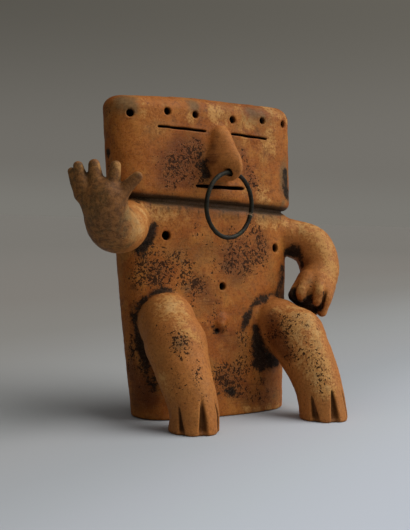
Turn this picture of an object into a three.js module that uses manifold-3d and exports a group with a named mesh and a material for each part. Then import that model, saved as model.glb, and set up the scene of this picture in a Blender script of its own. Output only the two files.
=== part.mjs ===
// Seated terracotta figure with a slab head and body, one arm raised, one hand
// on the thigh, and a loose wire ring through the pierced nose.
// Millimetres, +Z up, the face looks along -Y. The origin is the middle of the
// slab's underside, on the surface that the figure stands on.
import * as THREE from "three";
import { ParametricGeometry } from "three/addons/geometries/ParametricGeometry.js";
import { mergeVertices } from "three/addons/utils/BufferGeometryUtils.js";
import Module from "manifold-3d";

const wasm = await Module();
wasm.setup();

// ---------- driving dimensions ----------
// Slab: a rounded-rectangle section that is wider at the top, leaning back.
const HEIGHT = 280; // overall
const NECK_Z = 185.5; // middle of the groove under the head
const HALF_W_BASE = 77.8; // half width at the underside
const HALF_W_SHOULDER = 93.4; // half width of the body under the neck
const HALF_W_JAW = 96.4; // half width of the head above the neck
const HALF_W_CROWN = 98.0; // half width of the head at its top
const HALF_D_BASE = 29.8; // half thickness at the underside
const HALF_D_CROWN = 24.8; // half thickness at the top
const LEAN = 0.106; // backward lean, mm per mm of height
const ROUNDNESS = 2.72; // exponent of the slab's plan section
const NECK_TILT = -0.047; // slope of the neck groove across the width
const R_BASE_EDGE = 2.5; // rounding of the lower edge
const R_SHOULDER = 8; // rounding of the body's upper edge
const R_JAW = 8.5; // rounding of the head's lower edge
const R_CROWN = 13; // rounding of the head's top edge
const CROWN_DROP = 2.6; // the top edge falls by this towards its -X corner
const NECK_DEPTH = 5.2; // how far the groove goes in
const SLAB_SIDES = 44;

// Openings poked or cut in the wet clay: x, z, radius.
const VENT_DEPTH = 12;
const VENTS = [
  [-85.2, 261.3, 3.3],
  [-51.3, 265.1, 3.3],
  [-22.6, 264.2, 3.2],
  [18.8, 262.9, 3.3],
  [53.9, 264.7, 3.1],
  [81.3, 263.8, 3.3],
  [-56.6, 157.6, 4.1],
  [66.8, 147.5, 4.1],
  [-0.7, 113.6, 3.4],
];
// Slits of the eyes and mouth: x and z of both ends, width.
const SLIT_DEPTH = 12;
const SLITS = [
  [-62.1, 251.7, -11.2, 249.9, 2.4],
  [15.9, 249.8, 59.2, 248.5, 2.4],
  [-25.2, 201.9, 29.6, 200.8, 2.7],
];

// Nose: z, half width, reach in front of the face, and the exponent of the plan
// section there (a lower one gives a sharper ridge).
const NOSE_X = 0.5;
const NOSE_PROFILE = [
  [256.0, 5.4, 3.0, 1.8],
  [252.0, 8.4, 8.6, 1.75],
  [245.0, 10.0, 14.6, 1.7],
  [236.0, 12.4, 21.5, 1.6],
  [228.0, 15.0, 29.5, 1.45],
  [220.0, 16.4, 33.0, 1.34],
  [213.0, 14.8, 31.0, 1.32],
  [208.6, 11.0, 23.5, 1.32],
];
const NOSE_SIDES = 20;

// Nose ring: a wire circle that hangs upright, its opening just under +X.
const RING_CENTRE = [-3.2, -25.4, 185.6];
const RING_R = 28.5; // to the middle of the wire
const WIRE_R = 1.75;
const RING_TURN = 9.3; // degrees about +Z
const RING_GAP_AT = -15; // degrees from the ring's own +X
const RING_GAP = 0.9; // mm between the two ends
const NOSTRIL_R = 4.4; // bore through the nose that carries the ring
const NOSTRIL_UP = 0.1; // its axis above the wire's middle

// Limbs: x, y, z, radius along each limb.
const LEG_LEFT = [
  [-46.0, 7, 76, 21.2],
  [-60.5, -18, 84.5, 23.6],
  [-66.4, -41, 68, 25.0],
  [-67.9, -58, 42.5, 22.4],
  [-66.4, -69.5, 17, 20.4],
  [-66.8, -70, -8, 21.8],
];
const LEG_RIGHT = [
  [55.0, 7, 77, 23.2],
  [60.9, -19, 77.5, 23.7],
  [65.0, -42, 69.3, 25.0],
  [68.5, -61, 42.2, 22.2],
  [69.8, -72.5, 18, 20.6],
  [69.6, -78, -8, 21.9],
];
const ARM_RAISED = [
  [-84, 10, 168.5, 18.2],
  [-108, -19.5, 163, 19.8],
  [-130.5, -38.5, 165.5, 19.2],
  [-140.5, -46, 180, 17.8],
  [-142.8, -50.6, 188, 14.8],
];
const ARM_AKIMBO = [
  [79, 17, 161.5, 16.8],
  [98, 5, 156.0, 17.6],
  [110.5, -8, 148, 19.4],
  [111.5, -19, 127, 18.0],
  [93, -29, 105, 18.6],
];

// Raised hand: it is laid out in its own flat frame at the wrist, u towards
// the thumb and w up, and faces outwards and forwards by HAND_FACING degrees.
const HAND_AT = [-144.6, -50, 190.1];
const HAND_FACING = 44;
const PALM = [
  // u, w, half width, half thickness
  [1.4, -10, 14.6, 13.6],
  [-1.2, -3, 18.6, 11.4],
  [-4.0, 2.6, 20.5, 8.0],
];
const FINGERS = [
  // base u, w, radius, then tip u, w, radius, forward curl
  [-21.5, 4.0, 4.8, -26.8, 17.4, 3.3, -2.0],
  [-15.5, 4.5, 5.8, -21.3, 21.0, 4.2, 1.0],
  [-5.0, 5.5, 6.2, -8.5, 22.4, 4.7, 0.5],
  [6.5, 6.0, 5.6, 8.5, 22.0, 4.0, 0.5],
  [12.5, 1.0, 6.2, 24.4, 12.9, 4.2, 1.0],
];
// Hand on the thigh: base and tip of the thumb and fingers, x, y, z, radius.
const GRIP = [
  [[76.0, -29, 109, 6.0], [74.0, -33, 98, 4.6]],
  [[88.5, -40, 112, 7.0], [84.5, -46, 98, 5.4]],
  [[97.0, -40, 110, 6.6], [94.5, -45, 96.5, 5.2]],
  [[103.0, -36, 107, 6.2], [99.5, -38, 90, 4.8]],
];
// Grooves between the toes: degrees round the front of the foot, half width,
// height.
const TOE_GROOVES = [
  [-66, 2.4, 24],
  [-20, 2.8, 27],
  [25, 2.8, 27],
  [68, 2.3, 24],
];
const GROIN_KNOB = [-4, 82.5, 6.0]; // x, z, radius of the small lump

// ---------- solids ----------
// Joins a closed geometry's vertices and hands it over for cutting and joining.
function solid(geometry, matrix) {
  let g = geometry.clone();
  g.deleteAttribute("normal");
  g.deleteAttribute("uv");
  if (matrix) g.applyMatrix4(matrix);
  g = mergeVertices(g, 1e-4);
  const idx = g.index.array;
  const tris = [];
  for (let i = 0; i < idx.length; i += 3) {
    const [a, b, c] = [idx[i], idx[i + 1], idx[i + 2]];
    if (a !== b && b !== c && c !== a) tris.push(a, b, c);
  }
  const make = (t) =>
    new wasm.Manifold(
      new wasm.Mesh({
        numProp: 3,
        vertProperties: new Float32Array(g.attributes.position.array),
        triVerts: new Uint32Array(t),
      }),
    );
  const s = make(tris);
  if (s.volume() > 0) return s;
  for (let i = 0; i < tris.length; i += 3)
    [tris[i + 1], tris[i + 2]] = [tris[i + 2], tris[i + 1]];
  return make(tris);
}

function meshOf(s, name, material) {
  const m = s.getMesh();
  const n = m.numProp;
  const v = new Float32Array(m.numVert * 3);
  for (let i = 0; i < m.numVert; i++)
    v.set(m.vertProperties.subarray(i * n, i * n + 3), i * 3);
  const g = new THREE.BufferGeometry();
  g.setAttribute("position", new THREE.BufferAttribute(v, 3));
  g.setIndex(new THREE.BufferAttribute(new Uint32Array(m.triVerts), 1));
  g.computeVertexNormals();
  const mesh = new THREE.Mesh(g, material);
  mesh.name = name;
  return mesh;
}

const lerp = THREE.MathUtils.lerp;
const smooth = (x, a, b) => THREE.MathUtils.smoothstep(x, a, b);

// ---------- slab ----------
const halfWidth = (z) =>
  z > NECK_Z
    ? lerp(HALF_W_JAW, HALF_W_CROWN, (z - NECK_Z) / (HEIGHT - NECK_Z))
    : lerp(HALF_W_BASE, HALF_W_SHOULDER, z / NECK_Z);
const halfDepth = (z) => lerp(HALF_D_BASE, HALF_D_CROWN, z / HEIGHT);

// Point of the front surface at x, z, and its normal in plan.
function frontPoint(x, z) {
  const a = halfWidth(z),
    b = halfDepth(z);
  const q = Math.max(1 - Math.pow(Math.abs(x / a), ROUNDNESS), 1e-4);
  return new THREE.Vector3(x, LEAN * z - b * Math.pow(q, 1 / ROUNDNESS), z);
}
function frontNormal(x, z) {
  const d = 0.5;
  const p = frontPoint(x - d, z),
    q = frontPoint(x + d, z);
  return new THREE.Vector3(q.y - p.y, -(q.x - p.x), 0).normalize();
}

// Edge profile from the middle of the underside to the middle of the crown:
// height and how far the section is drawn in.
function slabProfile() {
  const rows = [];
  const arc = (n, f) => {
    for (let i = 0; i <= n; i++) rows.push(f((i / n) * Math.PI * 0.5));
  };
  arc(2, (t) => [R_BASE_EDGE * (1 - Math.cos(t)), R_BASE_EDGE * (1 - Math.sin(t))]);
  const shoulder = NECK_Z - 1.2,
    jaw = NECK_Z + 1.2;
  const body = [40, 80, 120, 150];
  for (const z of body) rows.push([z, 0]);
  // both lips of the groove are quarter rounds that meet at its bottom
  const lip = (r) => Math.acos(1 - NECK_DEPTH / r);
  for (let i = 0; i <= 3; i++) {
    const t = (i / 3) * lip(R_SHOULDER);
    rows.push([
      shoulder - R_SHOULDER * (Math.sin(lip(R_SHOULDER)) - Math.sin(t)),
      R_SHOULDER * (1 - Math.cos(t)),
    ]);
  }
  for (let i = 3; i >= 0; i--) {
    const t = (i / 3) * lip(R_JAW);
    rows.push([
      jaw + R_JAW * (Math.sin(lip(R_JAW)) - Math.sin(t)),
      R_JAW * (1 - Math.cos(t)),
    ]);
  }
  for (const z of [230]) rows.push([z, 0]);
  arc(3, (t) => [HEIGHT - R_CROWN * (1 - Math.sin(t)), R_CROWN * (1 - Math.cos(t))]);
  return rows;
}

function slabGeometry() {
  const rows = slabProfile();
  const stacks = rows.length + 1;
  const surface = (u, v, target) => {
    const i = Math.round(v * stacks);
    const last = i > rows.length;
    const [z, inset] = i === 0 ? rows[0] : rows[Math.min(i, rows.length) - 1];
    const t = u * 2 * Math.PI;
    const shrink = i === 0 || last ? 0 : 1;
    const a = (halfWidth(z) - inset) * shrink,
      b = (halfDepth(z) - inset) * shrink;
    const c = Math.cos(t),
      s = Math.sin(t);
    const k = 2 / ROUNDNESS;
    const x = a * Math.sign(c) * Math.pow(Math.abs(c), k);
    const y = b * Math.sign(s) * Math.pow(Math.abs(s), k) + LEAN * z;
    // the neck slopes across the width, fading out above and below
    const near = 1 - smooth(Math.abs(z - NECK_Z), 12, 75);
    const drop = CROWN_DROP * smooth(-x, 10, HALF_W_CROWN) * smooth(z, 240, HEIGHT);
    target.set(x, y, z + NECK_TILT * x * near - drop);
  };
  return new ParametricGeometry(surface, SLAB_SIDES, stacks);
}

// ---------- limbs ----------
// A rounded tube along a smooth curve, with a round cap at each end. Each key
// point gives x, y, z and one radius, or the radii along and across `side`.
function limbGeometry(keys, sides, steps, capSteps = 3, side = null) {
  const curve = new THREE.CatmullRomCurve3(
    keys.map((k) => new THREE.Vector3(k[0], k[1], k[2])),
    false,
    "catmullrom",
    0.5,
  );
  const radii = new THREE.CatmullRomCurve3(
    keys.map((k) => new THREE.Vector3(k[3], k[4] ?? k[3], 0)),
    false,
    "catmullrom",
    0.5,
  );
  const stacks = steps + 2 * capSteps;
  const frame = (t) => {
    const tangent = curve.getTangent(t).normalize();
    const ref = side ?? new THREE.Vector3(1, 0.13, 0.21).normalize();
    const across = new THREE.Vector3().crossVectors(tangent, ref).normalize();
    const along = new THREE.Vector3().crossVectors(across, tangent).normalize();
    return { tangent, along, across };
  };
  const surface = (u, v, target) => {
    const i = Math.round(v * stacks);
    let t, ring, push;
    if (i <= capSteps) {
      const a = (i / capSteps) * Math.PI * 0.5;
      t = 0;
      ring = Math.sin(a);
      push = -Math.cos(a);
    } else if (i >= stacks - capSteps) {
      const a = ((stacks - i) / capSteps) * Math.PI * 0.5;
      t = 1;
      ring = Math.sin(a);
      push = Math.cos(a);
    } else {
      t = (i - capSteps) / steps;
      ring = 1;
      push = 0;
    }
    if (i === 0 || i === stacks) ring = 0;
    const p = curve.getPoint(t);
    const r = radii.getPoint(t);
    const { tangent, along, across } = frame(t);
    const ang = u * 2 * Math.PI;
    target
      .copy(p)
      .addScaledVector(tangent, push * Math.min(r.x, r.y))
      .addScaledVector(along, ring * r.x * Math.cos(ang))
      .addScaledVector(across, ring * r.y * Math.sin(ang));
  };
  return new ParametricGeometry(surface, sides, stacks);
}
const limb = (keys, sides, steps, caps, side) =>
  solid(limbGeometry(keys, sides, steps, caps, side));

// ---------- nose ----------
function noseGeometry() {
  const rows = NOSE_PROFILE;
  const stacks = rows.length + 1;
  const surface = (u, v, target) => {
    const i = Math.round(v * stacks);
    const [z, w, reach, ridge] =
      rows[THREE.MathUtils.clamp(i - 1, 0, rows.length - 1)];
    const end = i === 0 || i === stacks;
    const t = u * 2 * Math.PI;
    const face = LEAN * z - halfDepth(z);
    const c = Math.cos(t),
      s = Math.sin(t);
    const k = 2 / ridge;
    const x = w * Math.sign(c) * Math.pow(Math.abs(c), k);
    const y = s > 0 ? 9 * s : -reach * Math.pow(-s, k);
    if (end) target.set(NOSE_X, face - reach * 0.3, z + (i === 0 ? 1.2 : -1.6));
    else target.set(NOSE_X + x, face + y, z);
  };
  return new ParametricGeometry(surface, NOSE_SIDES, stacks);
}

// ---------- cutters ----------
// Round vent, square to the surface in plan.
function ventCutter([x, z, r]) {
  const p = frontPoint(x, z);
  const n = frontNormal(x, z);
  const m = new THREE.Matrix4()
    .makeTranslation(
      p.x + n.x * (4 - VENT_DEPTH * 0.5),
      p.y + n.y * (4 - VENT_DEPTH * 0.5),
      p.z,
    )
    .multiply(
      new THREE.Matrix4().makeRotationFromQuaternion(
        new THREE.Quaternion().setFromUnitVectors(new THREE.Vector3(0, 1, 0), n),
      ),
    );
  return solid(new THREE.CylinderGeometry(r, r * 0.92, VENT_DEPTH + 8, 12), m);
}
// Straight slit with pointed ends, cut from the front.
function slitCutter([x0, z0, x1, z1, width]) {
  const len = Math.hypot(x1 - x0, z1 - z0);
  const h = width / 2;
  const outline = new THREE.Shape([
    new THREE.Vector2(-len / 2, 0),
    new THREE.Vector2(-len / 2 + 2.5, -h),
    new THREE.Vector2(len / 2 - 2.5, -h),
    new THREE.Vector2(len / 2, 0),
    new THREE.Vector2(len / 2 - 2.5, h),
    new THREE.Vector2(-len / 2 + 2.5, h),
  ]);
  const mid = frontPoint((x0 + x1) / 2, (z0 + z1) / 2);
  const m = new THREE.Matrix4()
    .makeTranslation(mid.x, mid.y + SLIT_DEPTH, mid.z)
    .multiply(new THREE.Matrix4().makeRotationY(-Math.atan2(z1 - z0, x1 - x0)))
    .multiply(new THREE.Matrix4().makeRotationX(Math.PI / 2));
  return solid(
    new THREE.ExtrudeGeometry(outline, {
      depth: SLIT_DEPTH + 10,
      bevelEnabled: false,
    }),
    m,
  );
}
// Groove between two toes, running up the front of the foot.
function toeGroove(leg, [degrees, r, height]) {
  const [foot, sole] = leg.slice(-2);
  const phi = THREE.MathUtils.degToRad(degrees);
  const onFoot = (z, out) => {
    const t = (z - sole[2]) / (foot[2] - sole[2]);
    const reach = lerp(sole[3], foot[3], t) + out;
    return [
      lerp(sole[0], foot[0], t) + reach * Math.sin(phi),
      lerp(sole[1], foot[1], t) - reach * Math.cos(phi),
      z,
    ];
  };
  return limb(
    [
      [...onFoot(-4, -0.6), r],
      [...onFoot(height * 0.5, -0.4), r],
      [...onFoot(height, 1.2), r * 0.7],
    ],
    8,
    4,
    2,
  );
}

// ---------- the ceramic figure ----------
let figure = solid(slabGeometry());
figure = figure.add(solid(noseGeometry()));
// The thigh bends too sharply for one tube, so its first two stretches are
// straight and share a round joint at each key point.
for (const keys of [LEG_LEFT, LEG_RIGHT])
  figure = figure
    .add(limb(keys.slice(0, 2), 18, 1, 3))
    .add(limb(keys.slice(1, 3), 18, 1, 3))
    .add(limb(keys.slice(2), 18, 7, 3));
for (const keys of [ARM_RAISED, ARM_AKIMBO])
  figure = figure.add(limb(keys, 18, 10, 2));

const facing = THREE.MathUtils.degToRad(HAND_FACING);
const handU = new THREE.Vector3(Math.cos(facing), -Math.sin(facing), 0);
const handN = new THREE.Vector3(-Math.sin(facing), -Math.cos(facing), 0);
const inHand = (u, w, forward = 0) =>
  new THREE.Vector3(...HAND_AT)
    .addScaledVector(handU, u)
    .addScaledVector(handN, forward)
    .add(new THREE.Vector3(0, 0, w));
figure = figure.add(
  limb(
    PALM.map(([u, w, hw, ht]) => [...inHand(u, w).toArray(), hw, ht]),
    16,
    4,
    3,
    handU,
  ),
);
for (const [u0, w0, r0, u1, w1, r1, curl] of FINGERS)
  figure = figure.add(
    limb(
      [
        [...inHand(u0, w0).toArray(), r0],
        [...inHand((u0 + u1) / 2, (w0 + w1) / 2, curl * 0.3).toArray(), (r0 + r1) / 2],
        [...inHand(u1, w1, curl).toArray(), r1],
      ],
      10,
      2,
      2,
    ),
  );
for (const [base, tip] of GRIP) figure = figure.add(limb([base, tip], 10, 1, 2));

const knobAt = frontPoint(GROIN_KNOB[0], GROIN_KNOB[1]);
figure = figure.add(
  solid(
    new THREE.SphereGeometry(GROIN_KNOB[2], 10, 6),
    new THREE.Matrix4().makeTranslation(knobAt.x, knobAt.y + 2.8, knobAt.z),
  ),
);

for (const v of VENTS) figure = figure.subtract(ventCutter(v));
for (const s of SLITS) figure = figure.subtract(slitCutter(s));
for (const keys of [LEG_LEFT, LEG_RIGHT])
  for (const g of TOE_GROOVES) figure = figure.subtract(toeGroove(keys, g));

// Bore through the nose, along the wire where the ring passes.
const turn = THREE.MathUtils.degToRad(RING_TURN);
const ringX = new THREE.Vector3(Math.cos(turn), Math.sin(turn), 0);
figure = figure.subtract(
  solid(
    new THREE.CylinderGeometry(NOSTRIL_R, NOSTRIL_R, 60, 16),
    new THREE.Matrix4()
      .makeTranslation(
        RING_CENTRE[0],
        RING_CENTRE[1],
        RING_CENTRE[2] + RING_R + NOSTRIL_UP,
      )
      .multiply(
        new THREE.Matrix4().makeRotationFromQuaternion(
          new THREE.Quaternion().setFromUnitVectors(
            new THREE.Vector3(0, 1, 0),
            ringX,
          ),
        ),
      ),
  ),
);

// The soles are flat on the ground.
figure = figure.subtract(
  solid(
    new THREE.BoxGeometry(400, 400, 60),
    new THREE.Matrix4().makeTranslation(0, 0, -30),
  ),
);

// ---------- the nose ring ----------
class RingWire extends THREE.Curve {
  getPoint(t, target = new THREE.Vector3()) {
    const gap = RING_GAP / RING_R;
    const a =
      THREE.MathUtils.degToRad(RING_GAP_AT) + gap / 2 + t * (2 * Math.PI - gap);
    return target
      .set(...RING_CENTRE)
      .addScaledVector(ringX, RING_R * Math.cos(a))
      .add(new THREE.Vector3(0, 0, RING_R * Math.sin(a)));
  }
}
const wireSection = new THREE.Shape();
wireSection.absarc(0, 0, WIRE_R, 0, 2 * Math.PI, false);
const ring = solid(
  new THREE.ExtrudeGeometry(wireSection, {
    curveSegments: 5,
    steps: 56,
    extrudePath: new RingWire(),
    bevelEnabled: false,
  }),
);

const group = new THREE.Group();
group.add(
  meshOf(
    figure,
    "ceramic_figure",
    new THREE.MeshStandardMaterial({ color: 0x98592f, roughness: 0.82, metalness: 0 }),
  ),
  meshOf(
    ring,
    "nose_ring",
    new THREE.MeshStandardMaterial({ color: 0x2b2e27, roughness: 0.55, metalness: 0.8 }),
  ),
);
export default group;
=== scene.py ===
"""Looks of the seated terracotta figure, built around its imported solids.

The clay body is made again as one finely modelled surface: a distance field from the same named
sizes as the solids, with the soft joints, thumbed undulations, toes, fingers and poked holes of
hand-built clay. The wire ring is modelled with its hammered section and open ends. Lengths in the
field are millimetres; every object in the scene is in metres.
"""

import math

import bmesh
import bpy
import numpy as np
from mathutils import Matrix, Vector


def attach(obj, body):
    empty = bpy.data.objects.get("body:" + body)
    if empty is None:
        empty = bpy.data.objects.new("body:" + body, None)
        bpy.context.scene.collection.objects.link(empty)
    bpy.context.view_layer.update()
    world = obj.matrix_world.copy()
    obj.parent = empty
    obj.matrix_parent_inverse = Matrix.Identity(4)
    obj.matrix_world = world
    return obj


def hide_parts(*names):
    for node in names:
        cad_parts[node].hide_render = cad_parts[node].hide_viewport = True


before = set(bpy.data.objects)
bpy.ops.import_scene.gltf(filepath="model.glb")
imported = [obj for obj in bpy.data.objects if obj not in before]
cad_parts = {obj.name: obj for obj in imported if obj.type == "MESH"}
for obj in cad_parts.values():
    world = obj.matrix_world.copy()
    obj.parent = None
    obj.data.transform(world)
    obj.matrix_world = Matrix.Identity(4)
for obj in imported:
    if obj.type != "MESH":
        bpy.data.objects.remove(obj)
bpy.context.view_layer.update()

# ---------------------------------------------------------------- camera
# The photographer's place: above the shelf, to the figure's right-hand side.
FOCAL_PX, FRAME_LONG = 1072.2, 530.0
CAM_AT = Vector((-0.57038, -0.77294, 0.17646))
CAM_YAW, CAM_PITCH, CAM_ROLL = (math.radians(a) for a in (35.982, -2.680, 1.7915))

fwd = Vector(
    (
        math.sin(CAM_YAW) * math.cos(CAM_PITCH),
        math.cos(CAM_YAW) * math.cos(CAM_PITCH),
        math.sin(CAM_PITCH),
    )
)
level = Vector((math.cos(CAM_YAW), -math.sin(CAM_YAW), 0.0))
upright = level.cross(fwd)
cam_x = level * math.cos(CAM_ROLL) + upright * math.sin(CAM_ROLL)
cam_y = -level * math.sin(CAM_ROLL) + upright * math.cos(CAM_ROLL)
cam_data = bpy.data.cameras.new("camera")
cam = bpy.data.objects.new("camera", cam_data)
bpy.context.scene.collection.objects.link(cam)
cam.matrix_world = Matrix(
    (
        (cam_x.x, cam_y.x, -fwd.x, CAM_AT.x),
        (cam_x.y, cam_y.y, -fwd.y, CAM_AT.y),
        (cam_x.z, cam_y.z, -fwd.z, CAM_AT.z),
        (0, 0, 0, 1),
    )
)
cam_data.sensor_fit = "AUTO"
cam_data.sensor_width = 36.0
cam_data.lens = 36.0 * FOCAL_PX / FRAME_LONG
cam_data.clip_start, cam_data.clip_end = 0.05, 60.0
bpy.context.scene.camera = cam

# ---------------------------------------------------------------- sizes of the figure, mm
HEIGHT, NECK_Z = 280.0, 185.5
HALF_W_BASE, HALF_W_SHOULDER, HALF_W_JAW, HALF_W_CROWN = 77.8, 93.4, 96.4, 98.0
HALF_D_BASE, HALF_D_CROWN = 29.8, 24.8
LEAN, ROUNDNESS, NECK_TILT = 0.106, 2.72, -0.047
R_BASE_EDGE, R_SHOULDER, R_JAW, R_CROWN = 2.5, 8.0, 8.5, 13.0
CROWN_DROP, NECK_DEPTH = 2.6, 5.2

# x, z, radius of the vents
VENTS = [
    (-85.2, 261.3, 3.3), (-51.3, 265.1, 3.3), (-22.6, 264.2, 3.2), (18.8, 262.9, 3.3),
    (53.9, 264.7, 3.1), (81.3, 263.8, 3.3), (-56.6, 157.6, 4.1), (66.8, 147.5, 4.1),
    (-0.7, 113.6, 3.4),
]
VENT_DEPTH = 21.0
# x, z of both ends and the width of the eye and mouth slits
SLITS = [
    (-62.1, 251.7, -11.2, 249.9, 2.1), (15.9, 249.8, 58.8, 248.5, 2.1),
    (-25.2, 201.9, 29.0, 200.7, 3.0),
]
SLIT_DEPTH = 16.0
# the nose leans a little: its middle at the tip and at the brow
NOSE_X, NOSE_X_TOP = 0.5, 3.6
# z, half width, reach, exponent of the plan section
NOSE_PROFILE = np.array(
    [
        (255.0, 7.0, 6.0, 1.9), (251.0, 9.0, 10.0, 1.85), (245.0, 10.4, 14.8, 1.75),
        (236.0, 12.6, 21.5, 1.62), (228.0, 15.0, 29.5, 1.5), (220.0, 16.4, 33.0, 1.44),
        (213.0, 14.8, 31.0, 1.46), (208.6, 11.0, 23.5, 1.5),
    ]
)
RING_CENTRE = np.array((-3.2, -25.4, 185.6))
RING_R, WIRE_R, RING_TURN, RING_GAP_AT, RING_GAP = 28.5, 1.95, 9.3, -15.0, 0.9
NOSTRIL_R, NOSTRIL_UP = 3.5, 0.1

LEG_LEFT = [
    (-46, 7, 76, 21.2), (-60.5, -18, 84.5, 23.6), (-66.4, -41, 68, 25.0),
    (-67.9, -58, 42.5, 22.4), (-66.4, -69.5, 17, 20.4), (-66.8, -70, -8, 21.8),
]
LEG_RIGHT = [
    (55, 7, 77, 23.2), (60.9, -19, 77.5, 23.7), (65, -42, 69.3, 25.0),
    (68.5, -61, 42.2, 22.2), (69.8, -72.5, 18, 20.6), (69.6, -78, -8, 21.9),
]
ARM_RAISED = [
    (-84, 10, 168.5, 18.2), (-108, -19.5, 163, 19.8), (-130.5, -38.5, 165.5, 19.2),
    (-140.5, -46, 180, 17.8), (-142.8, -50.6, 188, 14.8),
]
ARM_AKIMBO = [
    (79, 17, 161.5, 16.8), (98, 5, 156, 17.6), (110.5, -8, 148, 19.4),
    (111.0, -19, 127, 18.4), (96.5, -27.5, 111, 16.6),
]
HAND_AT, HAND_FACING = np.array((-144.6, -50.0, 190.1)), math.radians(44)
# along the hand: u, w, half width, half thickness
PALM = [(1.4, -10, 14.6, 13.6), (-1.0, -4, 18.0, 11.2), (-3.6, -0.6, 19.6, 7.6)]
# base u, w, radius, then middle, then tip, and how far middle and tip come forward
FINGERS = [
    ((-17.5, -1.0, 5.6), (-23.0, 8.5, 4.5), (-26.8, 17.2, 3.3), -1.0, -2.0),
    ((-12.5, -1.5, 6.8), (-17.6, 10.5, 5.6), (-21.2, 21.2, 3.9), 1.2, 1.0),
    ((-4.0, -1.5, 7.2), (-6.4, 11.0, 5.9), (-8.3, 22.3, 4.5), 1.4, 0.5),
    ((5.2, -2.0, 6.8), (7.6, 10.5, 5.4), (8.8, 22.0, 4.0), 1.3, 0.5),
    ((8.5, -6.0, 7.6), (18.0, 5.6, 5.5), (26.4, 14.2, 4.2), 0.6, 1.0),
]
# the grip: along each finger x, y, z, radius
GRIP = [
    ((87.3, -23.9, 121.7, 5.6), (80.4, -23.1, 113.4, 4.3), (75.3, -22.4, 105.1, 4.1)),
    ((88.9, -27.7, 119.7, 8.0), (78.2, -32.1, 110.4, 5.6), (78.3, -32.0, 104.2, 4.9)),
    ((96.5, -34.4, 119.1, 7.8), (90.4, -42.3, 110.1, 5.4), (89.0, -41.8, 100.7, 4.9)),
    ((103.8, -37.6, 114.1, 7.2), (97.7, -44.9, 103.7, 4.9), (95.5, -41.5, 90.3, 4.8)),
    ((108.4, -36.0, 113.0, 6.0), (104.2, -38.5, 102.1, 4.6), (101.9, -36.3, 91.3, 4.1)),
    ((82.3, -17.6, 104.1, 5.9), (87.0, -21.2, 99.7, 6.0), (92.2, -25.3, 95.2, 5.8), (96.8, -30.1, 90.6, 4.6)),
]
GRIP_CREASES = [
    ((84.9, -40.4, 116.4, 0.5), (82.8, -39.3, 109.1, 1.8), (82.5, -37.7, 99.8, 2.6)),
    ((94.5, -46.4, 111.7, 0.5), (92.5, -45.4, 103.9, 1.6), (91.9, -43.5, 96.4, 2.1)),
    ((76.8, -27.7, 116.6, 0.6), (74.2, -27.5, 110.1, 1.7), (74.7, -27.1, 101.8, 2.3)),
]
# clefts between the toes: degrees round the foot's front at the sole and at the top, half width
# at the sole, height
TOE_CLEFTS = {
    "left": [(-60, -74, 2.4, 23.0), (-12, -17, 3.7, 30.5), (43, 27, 2.6, 27.0), (88, 76, 2.6, 22.0)],
    "right": [(-59, -66, 3.5, 22.0), (-12, -12, 3.9, 27.5), (43, 27, 2.4, 25.5), (88, 78, 2.6, 22.0)],
}
GROIN_KNOB = (-4.2, 80.8, 6.3)

# ---------------------------------------------------------------- distance field


def step(x, a, b):
    t = np.clip((x - a) / (b - a), 0.0, 1.0)
    return t * t * (3.0 - 2.0 * t)


def smin(a, b, k):
    h = np.maximum(k - np.abs(a - b), 0.0) / k
    return np.minimum(a, b) - h * h * (k * 0.25)


def smax(a, b, k):
    return -smin(-a, -b, k)


def half_width(z):
    low = HALF_W_BASE + (HALF_W_SHOULDER - HALF_W_BASE) * z / NECK_Z
    high = HALF_W_JAW + (HALF_W_CROWN - HALF_W_JAW) * (z - NECK_Z) / (HEIGHT - NECK_Z)
    return np.where(z > NECK_Z, high, low)


def half_depth(z):
    return HALF_D_BASE + (HALF_D_CROWN - HALF_D_BASE) * z / HEIGHT


def front_y(x, z):
    q = np.maximum(1 - np.abs(x / half_width(np.float64(z))) ** ROUNDNESS, 1e-4)
    return LEAN * z - half_depth(z) * q ** (1 / ROUNDNESS)


def neck_height(x, z):
    """Height along the slab before the neck's slope and the crown's drop were put in."""
    zc = z
    for _ in range(2):
        near = 1.0 - step(np.abs(zc - NECK_Z), 12.0, 75.0)
        drop = CROWN_DROP * step(-x, 10.0, HALF_W_CROWN) * step(zc, 240.0, HEIGHT)
        zc = z - NECK_TILT * x * near + drop
    return zc


def rounded(e, v, r):
    """A rounded edge of radius r between two walls at signed distances e and v."""
    qx, qy = e + r, v + r
    return (
        np.minimum(np.maximum(qx, qy), 0.0)
        + np.hypot(np.maximum(qx, 0.0), np.maximum(qy, 0.0))
        - r
    )


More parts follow.
